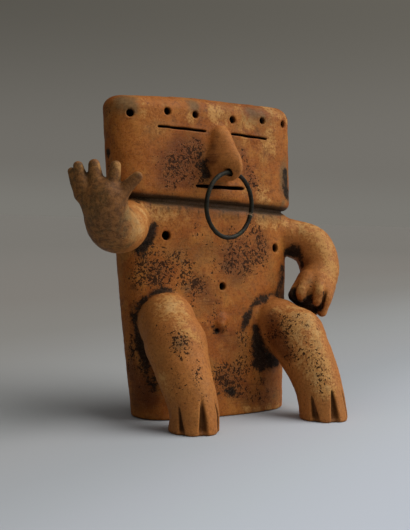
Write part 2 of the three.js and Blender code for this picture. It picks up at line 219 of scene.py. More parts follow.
def slab(p):
    x, y, z = p[:, 0], p[:, 1], p[:, 2]
    zc = neck_height(x, z)
    zl = np.clip(zc, 0.0, HEIGHT)
    b = half_depth(zl)
    ax, ay = np.abs(x), np.abs(y - LEAN * zl)

    def inset(a):
        g = ((ax / a) ** ROUNDNESS + (ay / b) ** ROUNDNESS) ** (1 / ROUNDNESS)
        i = np.minimum((1.0 - g) * b, b - 0.4)
        for _ in range(3):
            fa, fb = (ax / (a - i)) ** ROUNDNESS, (ay / (b - i)) ** ROUNDNESS
            slope = ROUNDNESS * (fa / (a - i) + fb / (b - i))
            i = np.minimum(i - (fa + fb - 1.0) / np.maximum(slope, 1e-4), b - 0.4)
        return -i

    a_low = HALF_W_BASE + (HALF_W_SHOULDER - HALF_W_BASE) * np.minimum(zl, NECK_Z) / NECK_Z
    e_low = inset(a_low)
    jump = np.where(zl > NECK_Z, half_width(zl) - a_low, HALF_W_JAW - HALF_W_SHOULDER)
    # the head is wider than the body by this much at the side walls only
    side = step(ax / a_low, 0.35, 0.97)
    e_high = e_low - jump * side
    top_of_body = NECK_Z - 0.69
    foot_of_head = NECK_Z + 0.53
    torso = rounded(e_low, zc - top_of_body, R_SHOULDER)
    torso = np.maximum(torso, rounded(e_low, -zc, R_BASE_EDGE))
    head = rounded(e_high, foot_of_head - zc, R_JAW)
    head = np.maximum(head, rounded(e_high, zc - HEIGHT, R_CROWN))
    core = np.maximum(e_low + NECK_DEPTH, np.abs(zc - NECK_Z) - 12.0)
    return smin(smin(torso, head, 0.8), core, 1.2)


def catmull(keys, n):
    """n points with radius along the same curve as the solid's limb."""
    k = np.array(keys, float)
    k = np.vstack([2 * k[0] - k[1], k, 2 * k[-1] - k[-2]])
    out = []
    m = len(keys) - 1
    for t in np.linspace(0, m, n):
        i = min(int(t), m - 1)
        w = t - i
        p0, p1, p2, p3 = k[i : i + 4]
        a, c = 0.5 * (p2 - p0), 0.5 * (p3 - p1)
        out.append(
            p1 + a * w + (-3 * p1 + 3 * p2 - 2 * a - c) * w**2 + (2 * p1 - 2 * p2 + a + c) * w**3
        )
    return np.array(out)


def tube(p, path):
    d = np.full(len(p), 1e9)
    for a, b in zip(path[:-1], path[1:]):
        ab = b[:3] - a[:3]
        ap = p - a[:3]
        t = np.clip((ap @ ab) / (ab @ ab), 0.0, 1.0)
        off = ap - t[:, None] * ab
        d = np.minimum(
            d, np.sqrt(np.einsum("ij,ij->i", off, off)) - (a[3] + t * (b[3] - a[3]))
        )
    return d


class Part:
    """A shape of the field with the box that it lies in, so that only near points are asked."""

    def __init__(self, fn, lo, hi):
        self.fn, self.lo, self.hi = fn, np.array(lo, float), np.array(hi, float)

    @classmethod
    def of_tube(cls, path):
        path = np.array(path, float)
        r = path[:, 3:].max()
        return cls(lambda p: tube(p, path), path[:, :3].min(0) - r, path[:, :3].max(0) + r)

    def near(self, p, margin):
        return np.all((p > self.lo - margin) & (p < self.hi + margin), axis=1)

    def join(self, d, p, k):
        m = self.near(p, k + 7.0)
        if m.any():
            d[m] = smin(d[m], self.fn(p[m]), k)
        return d

    def cut(self, d, p, k):
        m = self.near(p, k + 7.0)
        if m.any():
            d[m] = smax(d[m], -self.fn(p[m]), k)
        return d


def leg_part(keys):
    first, second = np.array(keys[:2], float), np.array(keys[1:3], float)
    shin = catmull(keys[2:], 16)

    def fn(p):
        return smin(smin(tube(p, first), tube(p, second), 4.0), tube(p, shin), 4.0)

    allk = np.vstack([first, second, shin])
    r = allk[:, 3].max()
    return Part(fn, allk[:, :3].min(0) - r, allk[:, :3].max(0) + r)


LEGS = [leg_part(LEG_LEFT), leg_part(LEG_RIGHT)]
ARMS = [Part.of_tube(catmull(k, 22)) for k in (ARM_RAISED, ARM_AKIMBO)]

hand_u = np.array((math.cos(HAND_FACING), -math.sin(HAND_FACING), 0.0))
hand_n = np.array((-math.sin(HAND_FACING), -math.cos(HAND_FACING), 0.0))


def in_hand(u, w, forward=0.0):
    return HAND_AT + hand_u * u + hand_n * forward + np.array((0.0, 0.0, w))


def palm(p):
    q = p - HAND_AT
    u, n, w = q @ hand_u, q @ hand_n, q[:, 2]
    d = None
    path = catmull([(a, 0, b, 0) for a, b, _, _ in PALM], 7)
    wide = np.interp(np.linspace(0, 2, 7), [0, 1, 2], [k[2] for k in PALM])
    thick = np.interp(np.linspace(0, 2, 7), [0, 1, 2], [k[3] for k in PALM])
    for i in range(7):
        # flattened ball: its width is squeezed to its thickness, then measured as a sphere
        sx = thick[i] / wide[i]
        uu, ww = (u - path[i, 0]) * sx, w - path[i, 2]
        r = np.sqrt(uu**2 + n**2 + ww**2)
        g = np.sqrt((uu * sx) ** 2 + n**2 + ww**2) / np.maximum(r, 1e-6)
        e = (r - thick[i]) / np.maximum(g, 0.3)
        d = e if d is None else smin(d, e, 3.0)
    return d


PALM_PART = Part(palm, HAND_AT - (26, 26, 26), HAND_AT + (26, 26, 18))
FINGER_PARTS = [
    Part.of_tube(
        catmull(
            [
                (*in_hand(base[0], base[1], 1.0), base[2]),
                (*in_hand(mid[0], mid[1], lift), mid[2]),
                (*in_hand(tip[0], tip[1], curl), tip[2]),
            ],
            9,
        )
    )
    for base, mid, tip, lift, curl in FINGERS
]
GRIP_PARTS = [Part.of_tube(catmull(g, 7)) for g in GRIP]
CREASE_PARTS = [Part.of_tube(catmull(g, 7)) for g in GRIP_CREASES]


def nose(p):
    z = p[:, 2]
    prof = NOSE_PROFILE[::-1]
    zl = np.clip(z, prof[0, 0], prof[-1, 0])
    # blurred interpolation, so that the ridge line has no corners
    w = r = n = 0.0
    for s in (-2.5, 0.0, 2.5):
        q = np.clip(zl + s, prof[0, 0], prof[-1, 0])
        w = w + np.interp(q, prof[:, 0], prof[:, 1]) / 3
        r = r + np.interp(q, prof[:, 0], prof[:, 2]) / 3
        n = n + np.interp(q, prof[:, 0], prof[:, 3]) / 3
    y = p[:, 1] - (LEAN * zl - half_depth(zl))
    ax = np.abs(p[:, 0] - NOSE_X - (NOSE_X_TOP - NOSE_X) * step(z, 216.0, 254.0))
    u = ax / w
    v = np.where(y < 0, -y / r, y / 9.0)
    g = (u**n + v**n) ** (1 / n)
    gg = np.maximum(g, 1e-3) ** (1 - n)
    gx = gg * u ** (n - 1) / w
    gy = gg * v ** (n - 1) / np.where(y < 0, r, 9.0)
    e = (g - 1.0) / np.maximum(np.hypot(gx, gy), 0.02)
    top, foot = prof[-1, 0] + 1.2, prof[0, 0] - 1.4
    return np.maximum(rounded(e, z - top, 6.0), rounded(e, foot - z, 5.0))


NOSE_PART = Part(nose, (NOSE_X - 17, -36, 206), (NOSE_X + 18, 14, 259))

kx, kz, kr = GROIN_KNOB
knob_y = front_y(kx, kz)
KNOB_PART = Part.of_tube(
    [
        (kx + 1.6, knob_y + 1.6, kz + 2.6, kr - 0.6),
        (kx - 0.4, knob_y + 1.2, kz - 0.8, kr),
        (kx - 2.6, knob_y + 2.6, kz - 3.6, kr - 1.2),
    ]
)
KNOB_PIT = Part.of_tube(
    [
        (kx - 5.4, knob_y - 4.6, kz - 6.0, 1.9),
        (kx - 5.0, knob_y - 1.4, kz - 5.6, 1.7),
        (kx - 4.4, knob_y + 0.6, kz - 5.0, 1.2),
    ]
)


def vent_part(x, z, r):
    d = 0.5
    t = np.array((2 * d, front_y(x + d, z) - front_y(x - d, z), 0.0))
    n = np.array((t[1], -t[0], 0.0))
    n /= np.linalg.norm(n)
    at = np.array((x, front_y(x, z), z))

    def fn(p):
        q = p - at
        s = q @ n
        rho = np.sqrt(np.maximum(np.einsum("ij,ij->i", q, q) - s * s, 0.0))
        # the reed that made the hole leaves it slightly wider at the mouth
        wall = rho - r * (1.0 + 0.05 * np.tanh(s / 2.5))
        return np.maximum(wall, np.abs(s) - VENT_DEPTH)

    reach = np.abs(n) * VENT_DEPTH + r + 1
    return Part(fn, at - reach, at + reach), at, n, r


VENT_PARTS = [vent_part(*v) for v in VENTS]


def slit_part(x0, z0, x1, z1, width):
    a, b = np.array((x0, z0)), np.array((x1, z1))
    t = (b - a) / np.linalg.norm(b - a)
    half = np.linalg.norm(b - a) / 2
    mid = (a + b) / 2

    def plan(p):
        qx, qz = p[:, 0] - mid[0], p[:, 2] - mid[1]
        s, w = qx * t[0] + qz * t[1], -qx * t[1] + qz * t[0]
        s_n = np.clip(np.abs(s) / half, 0, 1)
        # a blade's cut: slightly bowed, pointed at both ends, a little uneven
        bow = 0.25 * np.sin(s * 0.07 + x0) + 0.12 * np.sin(s * 0.31 + z0)
        hw = width / 2 * (1 - s_n**16) ** 0.5 * (1 + 0.07 * np.sin(s * 0.23 + x1))
        return s, w - bow, hw

    def fn(p):
        s, w, hw = plan(p)
        return np.maximum(np.abs(w) - hw, np.abs(s) - half)

    y = front_y(*mid)
    lo = (min(x0, x1) - 2, y - 25, min(z0, z1) - 4)
    hi = (max(x0, x1) + 2, y + SLIT_DEPTH, max(z0, z1) + 4)
    part = Part(lambda p: np.maximum(fn(p), p[:, 1] - hi[1]), lo, hi)
    part.plan, part.half = plan, half
    return part


SLIT_PARTS = [slit_part(*s) for s in SLITS]


def cleft_part(leg, at_sole, at_top, half, height):
    """A wedge pressed between two toes: open and deep below, running out above."""
    foot, sole = leg[-2:]

    def fn(p):
        z = p[:, 2]
        t = (z - sole[2]) / (foot[2] - sole[2])
        qx = p[:, 0] - (sole[0] + (foot[0] - sole[0]) * t)
        qy = p[:, 1] - (sole[1] + (foot[1] - sole[1]) * t)
        reach = sole[3] + (foot[3] - sole[3]) * t
        up = np.clip(z / height, 0.0, 1.0)
        phi = np.radians(at_sole + (at_top - at_sole) * up)
        s = qx * np.sin(phi) - qy * np.cos(phi) - reach
        w = qx * np.cos(phi) + qy * np.sin(phi)
        taper = np.clip((height - z) / height, 0.0, 1.0)
        hw = half * taper**0.75 + 0.3
        # a thin web stays between the toes near the sole
        deep = (1.0 + 4.8 * taper**0.6) * (0.42 + 0.58 * step(z, 1.0, 6.0))
        g = np.hypot(w / hw, np.where(s < 0, s, s * 0.1) / deep)
        e = (g - 1.0) * np.minimum(hw, deep)
        return np.maximum(e, z - height)

    lo = (min(foot[0], sole[0]) - 27, min(foot[1], sole[1]) - 27, -4.0)
    hi = (max(foot[0], sole[0]) + 27, max(foot[1], sole[1]) + 27, height)
    return Part(fn, lo, hi)


TOE_PARTS = [
    cleft_part(leg, *c)
    for leg, side in ((LEG_LEFT, "left"), (LEG_RIGHT, "right"))
    for c in TOE_CLEFTS[side]
]

turn = math.radians(RING_TURN)
ring_x = np.array((math.cos(turn), math.sin(turn), 0.0))
bore_at = RING_CENTRE + (0, 0, RING_R + NOSTRIL_UP)


def bore(p):
    q = p - bore_at
    s = q @ ring_x
    rho = np.sqrt(np.maximum(np.einsum("ij,ij->i", q, q) - s * s, 0.0))
    flare = 0.9 * step(np.abs(s), 3.0, 14.0)
    return np.maximum(rho - NOSTRIL_R - flare, np.abs(s) - 30.0)


BORE_PART = Part(bore, bore_at - (31, 9, 6), bore_at + (31, 9, 6))


def wave_set(seed, count, low, high):
    """Plane waves of random direction, wavelengths low to high in mm: vectors and phases."""
    rng = np.random.default_rng(seed)
    v = rng.normal(size=(count, 3))
    length = np.exp(rng.uniform(math.log(low), math.log(high), count))
    v *= (2 * math.pi / np.linalg.norm(v, axis=1) / length)[:, None]
    return v.T.copy(), rng.uniform(0, 2 * math.pi, count)


BROAD, PRESSED, GRAINED = wave_set(11, 14, 45, 100), wave_set(12, 36, 9, 24), wave_set(13, 26, 3.4, 7)


def waves(p, made):
    """Smooth noise, about -1 to 1."""
    v, phase = made
    return np.sin(p @ v + phase).sum(1) / math.sqrt(len(phase) / 2)


def relief(p):
    """What the maker's fingers left, in mm: broad dents, then smaller pressed facets."""
    r = 0.20 * waves(p, BROAD) + 0.085 * waves(p, PRESSED)
    r += 0.04 * waves(p, GRAINED)
    # the hollow of the raised palm
    q = p - in_hand(-2.0, -5.0, 11.0)
    near = np.einsum("ij,ij->i", q, q) < 900
    if near.any():
        r[near] -= 1.1 * np.exp(-np.einsum("ij,ij->i", q[near], q[near]) / 70.0)
    return r


def before_cuts(p):
    base = slab(p)
    with_arms = base.copy()
    for a in ARMS:
        a.join(with_arms, p, 5.0)
    PALM_PART.join(with_arms, p, 5.0)
    for f in FINGER_PARTS:
        f.join(with_arms, p, 2.4)
    for g in GRIP_PARTS:
        g.join(with_arms, p, 3.0)
    for c in CREASE_PARTS:
        c.cut(with_arms, p, 1.6)
    with_legs = base
    for leg in LEGS:
        leg.join(with_legs, p, 4.6)
    d = np.minimum(with_arms, with_legs)
    NOSE_PART.join(d, p, 3.6)
    KNOB_PART.join(d, p, 3.6)
    return d


def field(p):
    p = np.asarray(p, float)
    d = before_cuts(p)
    near = np.abs(d) < 12
    d[near] -= relief(p[near])
    # lips pushed up round the holes and along the slits
    for part, at, n, r in VENT_PARTS:
        m = part.near(p, 4.0)
        if m.any():
            q = p[m] - at
            s = q @ n
            rho = np.sqrt(np.maximum(np.einsum("ij,ij->i", q, q) - s * s, 0.0))
            d[m] -= 0.22 * np.exp(-(((rho - r - 1.1) / 1.0) ** 2)) * (np.abs(s) < 7)
    for part in SLIT_PARTS:
        m = part.near(p, 4.0)
        if m.any():
            s, w, hw = part.plan(p[m])
            along = 1 - step(np.abs(s), part.half - 3, part.half + 1)
            d[m] -= 0.22 * np.exp(-(((np.abs(w) - hw - 0.9) / 0.9) ** 2)) * along
    for part, *_ in VENT_PARTS:
        part.cut(d, p, 1.0)
    for part in SLIT_PARTS:
        part.cut(d, p, 0.7)
    for part in TOE_PARTS:
        part.cut(d, p, 1.8)
    KNOB_PIT.cut(d, p, 1.2)
    BORE_PART.cut(d, p, 1.4)
    return smax(d, -p[:, 2], np.where(p[:, 1] < -38.0, 2.6, 1.2))


# ---------------------------------------------------------------- surface from the field


def surface_nets(values, origin, h):
    inside = values < 0
    nx, ny, nz = values.shape
    c = inside.astype(np.uint8)
    count = np.zeros((nx - 1, ny - 1, nz - 1), np.uint8)
    corners = [(i, j, k) for i in (0, 1) for j in (0, 1) for k in (0, 1)]
    for i, j, k in corners:
        count += c[i : nx - 1 + i, j : ny - 1 + j, k : nz - 1 + k]
    cell = np.nonzero((count > 0) & (count < 8))
    number = np.full(count.shape, -1, np.int64)
    number[cell] = np.arange(len(cell[0]))
    at = np.zeros((len(cell[0]), 3))
    hits = np.zeros(len(cell[0]))
    for a in corners:
        for axis in range(3):
            if a[axis]:
                continue
            b = list(a)
            b[axis] = 1
            va = values[cell[0] + a[0], cell[1] + a[1], cell[2] + a[2]]
            vb = values[cell[0] + b[0], cell[1] + b[1], cell[2] + b[2]]
            m = (va < 0) != (vb < 0)
            t = va[m] / (va[m] - vb[m])
            add = np.tile(np.array(a, float), (m.sum(), 1))
            add[:, axis] += t
            at[m] += add
            hits[m] += 1
    verts = origin + h * (np.stack(cell, 1) + at / hits[:, None])
    quads = []
    for axis in range(3):
        o1, o2 = (axis + 1) % 3, (axis + 2) % 3
        lo = [slice(None)] * 3
        hi = [slice(None)] * 3
        lo[axis], hi[axis] = slice(0, -1), slice(1, None)
        a, b = inside[tuple(lo)], inside[tuple(hi)]
        e = np.argwhere(a != b)
        e = e[(e[:, o1] > 0) & (e[:, o2] > 0)]
        e = e[(e[:, o1] < values.shape[o1] - 1) & (e[:, o2] < values.shape[o2] - 1)]
        flip = ~a[tuple(e.T)]
        ring = []
        for s1, s2 in ((-1, -1), (0, -1), (0, 0), (-1, 0)):
            q = e.copy()
            q[:, o1] += s1
            q[:, o2] += s2
            ring.append(number[tuple(q.T)])
        q = np.stack(ring, 1)
        q[flip] = q[flip][:, ::-1]
        quads.append(q)
    return verts, np.vstack(quads)


def sampled(h):
    """The field on a grid, worked out only in blocks that can hold the surface."""
    lo, hi = np.array((-170.0, -103.0, -4.0)), np.array((136.0, 58.0, 286.0))
    block = 8
    n = (np.ceil((hi - lo) / h / block).astype(int) + 1) * block
    nb = n // block
    centre = [lo[i] + h * (np.arange(nb[i]) * block + (block - 1) / 2) for i in range(3)]
    grid = np.stack(np.meshgrid(*centre, indexing="ij"), -1).reshape(-1, 3)
    coarse = field(grid)
    values = np.repeat(
        np.repeat(
            np.repeat(np.where(coarse < 0, -9.0, 9.0).reshape(nb).astype(np.float32), block, 0),
            block,
            1,
        ),
        block,
        2,
    )
    active = np.nonzero((np.abs(coarse) < h * block * 0.87 * 1.25 + 1.5).reshape(nb))
    off = np.arange(block)
    local = np.stack(np.meshgrid(off, off, off, indexing="ij"), -1).reshape(-1, 3)
    start = np.stack(active, 1) * block
    for s in range(0, len(start), 400):
        nodes = (start[s : s + 400, None, :] + local[None]).reshape(-1, 3)
        values[tuple(nodes.T)] = field(lo + h * nodes)
    return values, lo


def settle(verts, rounds, cap):
    """Moves points onto the surface along the field's slope, and gives the outward normals."""
    tet = np.array(((1, 1, 1), (1, -1, -1), (-1, 1, -1), (-1, -1, 1)), float)
    normal = np.zeros_like(verts)
    eps = 0.08
    for r in range(rounds):
        for s in range(0, len(verts), 100000):
            p = verts[s : s + 100000]
            g = np.zeros_like(p)
            mean = np.zeros(len(p))
            for t in tet:
                v = field(p + eps * t)
                g += v[:, None] * t
                mean += v / 4
            g /= 4 * eps
            length = np.sqrt(np.einsum("ij,ij->i", g, g))
            length = np.maximum(length, 0.25)
            move = mean / length
            unit = g / length[:, None]
            verts[s : s + 100000] = p - np.clip(move, -cap, cap)[:, None] * unit
            normal[s : s + 100000] = unit
    return verts, normal

# ---------------------------------------------------------------- the clay body
# patches of the surface's history, and in the soot list also painted shade: x, y, z, radius in mm, strength
# soot and painted shade: fire clouds, plus patches that stand for shade beside the nose's left foot, under the
# raised elbow and the akimbo arm, under and between the fist's fingers, and beside both thighs
SOOT_AND_SHADE = [
    (-17, -2, 226, 5.6, 0.3), (-17, -3, 217, 6.4, 0.42), (-16, -4, 208, 5.4, 0.36),
    (-18, -1, 235, 5.0, 0.15), (-12, -5, 214, 3.6, 0.5), (-70, -4, 161, 4.3, 0.9), (-75, -3, 155, 4.8, 1),
    (-79, -2, 149, 4.3, 0.8), (-68, -4, 166, 3.0, 0.5), (89, -6, 143, 5.2, 1),
    (86, -1, 143, 3.9, 0.9), (91, -10, 145, 3.9, 0.8), (88, -8, 149, 3.5, 0.5),
    (94, -12, 138, 3.5, 0.9), (95, -13, 131, 3.0, 0.7), (77, -4, 128, 4.4, 0.8), (75, -6, 119, 4.6, 0.8),
    (-70, -9, 106, 3.8, 0.8), (-76, -6, 101, 3.6, 0.9), (-79, -4, 95, 3.6, 0.95),
    (-80, -3, 86, 3.4, 0.9), (-80, -4, 78, 3.4, 0.95), (-79, -5, 70, 3.6, 0.9),
    (-78, -7, 62, 3.8, 0.85), (-77, -9, 55, 3.8, 0.7), (-76, -10, 48, 3.6, 0.45),
    (46, -15, 101.5, 3.8, 0.8), (39, -16, 100, 3.4, 0.6), (67, -11, 105, 3.5, 0.5),
    (29, -18, 88, 3.5, 0.7), (24, -19, 82, 3.5, 0.7), (20, -20, 76, 2.6, 0.5),
    (35, -19, 76, 3.5, 1), (37, -20, 68, 4.3, 1), (36, -21, 61, 5.2, 1), (37, -22, 54, 6.1, 1),
    (45, -21, 49, 6.1, 1), (53, -21, 45, 6.1, 1), (42, -23, 43, 5.2, 1), (62, -18, 44, 4.3, 1),
    (32, -23, 45, 3.5, 0.6), (-10, -20, 75, 2.6, 0.8), (-14, -20, 79, 1.7, 0.4),
    (-84, 0, 113, 2.6, 0.7), (9, -13, 132, 3.5, 0.6), (26, -13, 129, 2.6, 0.5),
    (28, -11, 149, 2.3, 0.8), (-57, -13, 109, 3.6, 0.7), (-60, -12, 110, 3.5, 0.7),
    (-11, -27, 21, 3.5, 0.5), (6, -27, 22, 3.0, 0.5), (-2, -27, 25, 4.3, 0.4),
    (-97, 25, 227, 3.5, 0.8), (-97, 24, 216, 3.5, 0.5), (-144, -58, 201, 3.5, 0.4),
    (76.3, -20.7, 102.2, 4.3, 1), (80, -23.6, 99.6, 4.3, 1), (84.5, -27, 96.5, 4.3, 1),
    (88.3, -31.2, 93.5, 4.1, 1), (92.8, -34.7, 89.6, 3.5, 1), (81.2, -42.3, 113, 1.6, 0.7),
    (80, -41.6, 108.4, 2, 0.9), (79.4, -40.2, 104.2, 2.4, 1), (80.2, -37.3, 99.8, 2.7, 1),
    (91.4, -47.5, 108.2, 1.7, 0.9), (91.1, -46.2, 104, 1.7, 0.9), (90.5, -44.9, 99.3, 2.1, 1),
    (90.8, -42.8, 94.5, 2.6, 1), (74.6, -28.7, 114.8, 1.6, 0.8), (74.3, -27.5, 110.1, 2.4, 0.9),
    (74.2, -26.5, 105.5, 2.8, 1), (73.7, -23.5, 107.1, 2.8, 0.7), (73.5, -21.1, 103.2, 2.8, 0.8),
    (83, 5, 219, 3.4, 0.7), (84, 5, 211, 4.6, 0.8), (84, 4, 200, 4.4, 0.8), (89, 8, 195, 4.0, 0.8),
    (91, 12, 204, 4.0, 0.6),
    (-70, -15, 31, 6.0, 0.5), (-73, -12, 43, 6.0, 0.45), (-76, -10, 22, 6.0, 0.45),
    (-79, 2, 33, 5.0, 0.3), (42, -24, 28, 5.0, 0.4), (50, -24, 15, 5.0, 0.3),
    (2, -27, 19, 5.0, 0.35), (-144, -60, 186, 3.0, 0.3), (23, -19, 88, 3.0, 0.4),
    (72, -9, 111, 4.6, 0.7), (70, -10, 124, 3.6, 0.4),
    (-40, 50, 235, 9.0, 0.5), (-31, 50, 222, 7.0, 0.4), (52, 41, 120, 10.0, 0.5),
    (61, 38, 108, 8.0, 0.4), (-60, 32, 30, 9.0, 0.4), (20, 33, 14, 8.0, 0.4), (93, 16, 120, 6.0, 0.4),
    (86, 12, 60, 7.0, 0.4), (-95, 30, 262, 5.0, 0.4),
    (-84, 2, 186, 4.0, 0.4),
    (86.5, -37.5, 112.5, 1.7, 0.3), (85.5, -36.4, 107.9, 2.2, 0.45), (84.8, -35.5, 103.2, 2.6, 0.6),
    (84.5, -34.3, 99.4, 2.8, 0.7), (95.1, -43.4, 107.3, 1.7, 0.4), (94.6, -42.7, 102.7, 2, 0.5),
    (93.2, -41.9, 98, 2.2, 0.7),
    (84.4, 6.6, 219, 3.6, 0.35), (80, 4.2, 210, 3.8, 0.3), (83.5, 4.8, 205, 4.0, 0.4),
    (-79, -3, 142, 4.6, 0.6),
]
GREY = [
    (-87, 15, 269, 7.0, 0.8), (-83, 11, 265, 4.3, 0.6), (-92, 19, 271, 4.3, 0.5),
    (-23, 5, 272, 3.5, 0.7), (44, 6, 271, 4.3, 0.7), (40, 7, 274, 3.5, 0.5),
    (53, 6, 269, 3.5, 0.4), (79, 4, 219, 3.5, 0.9), (82, 5, 210, 4.3, 1),
    (83, 4, 200, 3.9, 0.9), (88, 6, 195, 3.5, 1), (75, 2, 207, 2.6, 0.5),
    (78, 1, 189, 3.5, 0.6), (-80, -64, 71, 4.3, 0.5), (-80, -60, 76, 3.5, 0.4),
    (-74, -65, 74, 3.5, 0.4), (6, -14, 131, 4.3, 0.4), (-42, -12, 135, 4.3, 0.35),
    (-38, -15, 113, 4.3, 0.4), (57, -63, 79, 3.5, 0.4), (62, -73, 65, 4.3, 0.3),
    (84, -37, 119, 3.5, 0.5),
    (-140, -55, 186, 6.0, 0.5), (-133, -60, 176, 5.0, 0.4), (-148, -47, 170, 6.0, 0.4),
    (58, -60, 88, 5.0, 0.3), (50, -24, 22, 8.0, 0.35), (60, -20, 12, 7.0, 0.4), (35, 0, 277, 6.0, 0.4),
    (54, 4, 276, 5.0, 0.4), (-23, 4, 268, 4.0, 0.5),
    (-20, 46, 176, 10.0, 0.4), (30, 38, 95, 10.0, 0.35), (70, 48, 240, 8.0, 0.5),
    (-60, 45, 205, 9.0, 0.4), (-52, 40, 120, 12.0, 0.3), (92, 16, 215, 7.0, 0.5),
    (62, 7, 270, 9.0, 0.35), (40, 5, 268, 7.0, 0.4), (-23, 6, 275, 6.0, 0.5), (10, 7, 276, 7.0, 0.3),
    (-88, 14, 262, 8.0, 0.3), (-52, 6, 274, 7.0, 0.25), (-120, -50, 168, 8.0, 0.3), (-128, -58, 166, 9.0, 0.3),
    (79.3, 5.2, 224.5, 4.4, 0.7), (84.4, 6.6, 219, 5.0, 0.8), (80, 4.2, 211.4, 5.0, 0.8), (83.5, 4.8, 205, 4.6, 0.8),
    (75, 1.4, 200.8, 4.0, 0.5), (83.3, 7.4, 230.4, 4.0, 0.5), (77, 3, 217, 4.0, 0.5),
]
TAN = [
    (-114, -49, 169, 8.7, 0.8), (-107, -45, 161, 7.0, 0.5), (-121, -53, 158, 7.0, 0.6),
    (-90, -21, 176, 7.0, 0.9), (-128, -59, 177, 6.5, 0.7), (-69, -2, 181, 7.0, 0.5),
    (-57, -5, 179, 7.0, 0.4), (-43, -7, 178, 7.0, 0.35), (-27, -8, 177, 6.1, 0.2),
    (49, -6, 174, 6.1, 0.7), (67, -3, 172, 7.0, 0.6), (83, 1, 172, 5.2, 0.6),
    (112, -24, 158, 9.5, 0.42), (114, -32, 143, 9.5, 0.42), (106, -39, 127, 8.8, 0.35),
    (114, -11, 167, 7.0, 0.5), (95, -7, 169, 6.1, 0.4), (-3, 4, 269, 5.2, 0.7),
    (6, 6, 273, 5.2, 0.5), (31, 9, 276, 5.2, 0.3), (66, 11, 275, 6.1, 0.7),
    (75, 10, 270, 4.3, 0.5), (-72, -32, 100, 7.8, 0.55), (-70, -43, 95, 8.7, 0.6),
    (-73, -56, 86, 7.8, 0.35), (-68, -64, 78, 7.0, 0.3), (-66, -71, 65, 7.0, 0.15),
    (-65, -79, 50, 6.1, 0.1), (-90, -61, 43, 6.1, 0.4), (-20, -17, 102, 3.5, 0.2),
    (63, -59, 86, 6.1, 0.9), (64, -67, 76, 6.1, 0.9), (63, -73, 65, 6.1, 0.6),
    (62, -80, 51, 7.0, 0.4), (61, -50, 92, 5.2, 0.4), (66, -87, 36, 5.2, 0.3),
    (51, -3, 196, 7.0, 0.5), (64, -1, 201, 5.2, 0.3), (31, -5, 196, 4.3, 0.5),
    (61, 3, 238, 8.7, 0.4), (67, 6, 253, 7.0, 0.4), (-68, 7, 265, 8.7, 0.3),
    (-64, 4, 250, 8.7, 0.25), (32, -26, 25, 7.8, -0.6), (40, -26, 15, 7.8, -0.5),
    (23, -20, 74, 5.2, 0.2), (50, -64, 69, 8.0, 0.5), (58, -84, 36, 9.0, 0.6), (54, -74, 53, 9.0, 0.55),
    (56, -56, 86, 8.0, 0.3),
    (-136, -59, 204, 3.2, 0.8), (-137, -59, 211, 3.0, 0.9), (-145, -50, 201, 2.8, 0.7),
    (-148, -48, 211, 3.0, 0.9), (-154, -42, 201, 2.6, 0.7), (-158, -39, 210, 2.6, 0.8),
    (-132, -63, 202, 3.4, 0.6), (-127, -68, 206, 3.4, 0.7), (-139, -58, 213, 2.4, 0.7),
    (20, -27, 3, 4.0, 0.5), (34, -26, 3, 4.0, 0.5), (48, -25, 3, 4.0, 0.5), (62, -21, 3, 4.0, 0.5),
    (50, -36, 93, 6.0, 0.4), (62, -42, 95, 7.0, 0.5), (-118, -50, 172, 6.0, 0.4),
    (-100, -36, 168, 8.0, 0.45), (-30, 5, 262, 6.0, 0.4), (5, 4, 262, 8.0, 0.4), (38, 4, 262, 6.0, 0.3),
    (0, 50, 270, 12.0, 0.5), (60, 48, 264, 9.0, 0.6), (-72, 48, 262, 9.0, 0.6),
    (0, 36, 70, 16.0, 0.35), (72, 38, 150, 11.0, 0.5), (-76, 38, 150, 9.0, 0.5), (42, 31, 4, 7.0, 0.5),
    (-30, 31, 4, 7.0, 0.5), (94, 12, 270, 7.0, 0.6), (90, 16, 172, 7.0, 0.5), (20, 49, 200, 14.0, 0.3),
    (-96, 22, 200, 8.0, 0.4), (-66, -18, 105, 7.0, 0.5), (-62, -36, 104, 7.0, 0.5),
    (48, -56, 80, 8.0, 0.4), (50, -64, 69, 7.0, 0.3), (-104, -38, 172, 9.0, 0.35),
    (100, -14, 164, 9.0, 0.35), (-64, -44, 96, 7.0, 0.3),
    (58, -84, 38, 10.0, 0.4), (-68, -52, 92, 8.0, 0.3), (96, -10, 166, 8.0, 0.3), (50, -44, 88, 7.0, 0.3),
    (20, -12, 165, 10.0, 0.15), (34, 8, 250, 9.0, 0.2),
    (74.2, -36, 111.7, 3.6, 0.55), (77.9, -33.3, 118.8, 4.1, 0.4), (86, -45.8, 111.3, 3.8, 0.5),
    (85.3, -45.8, 103.1, 3.3, 0.4), (89.8, -41.9, 119.2, 4.1, 0.45), (93.6, -48.1, 102.2, 3.3, 0.35),
    (56, -56, 86, 8.0, 0.5), (62, -86, 24, 8.0, 0.3),
]
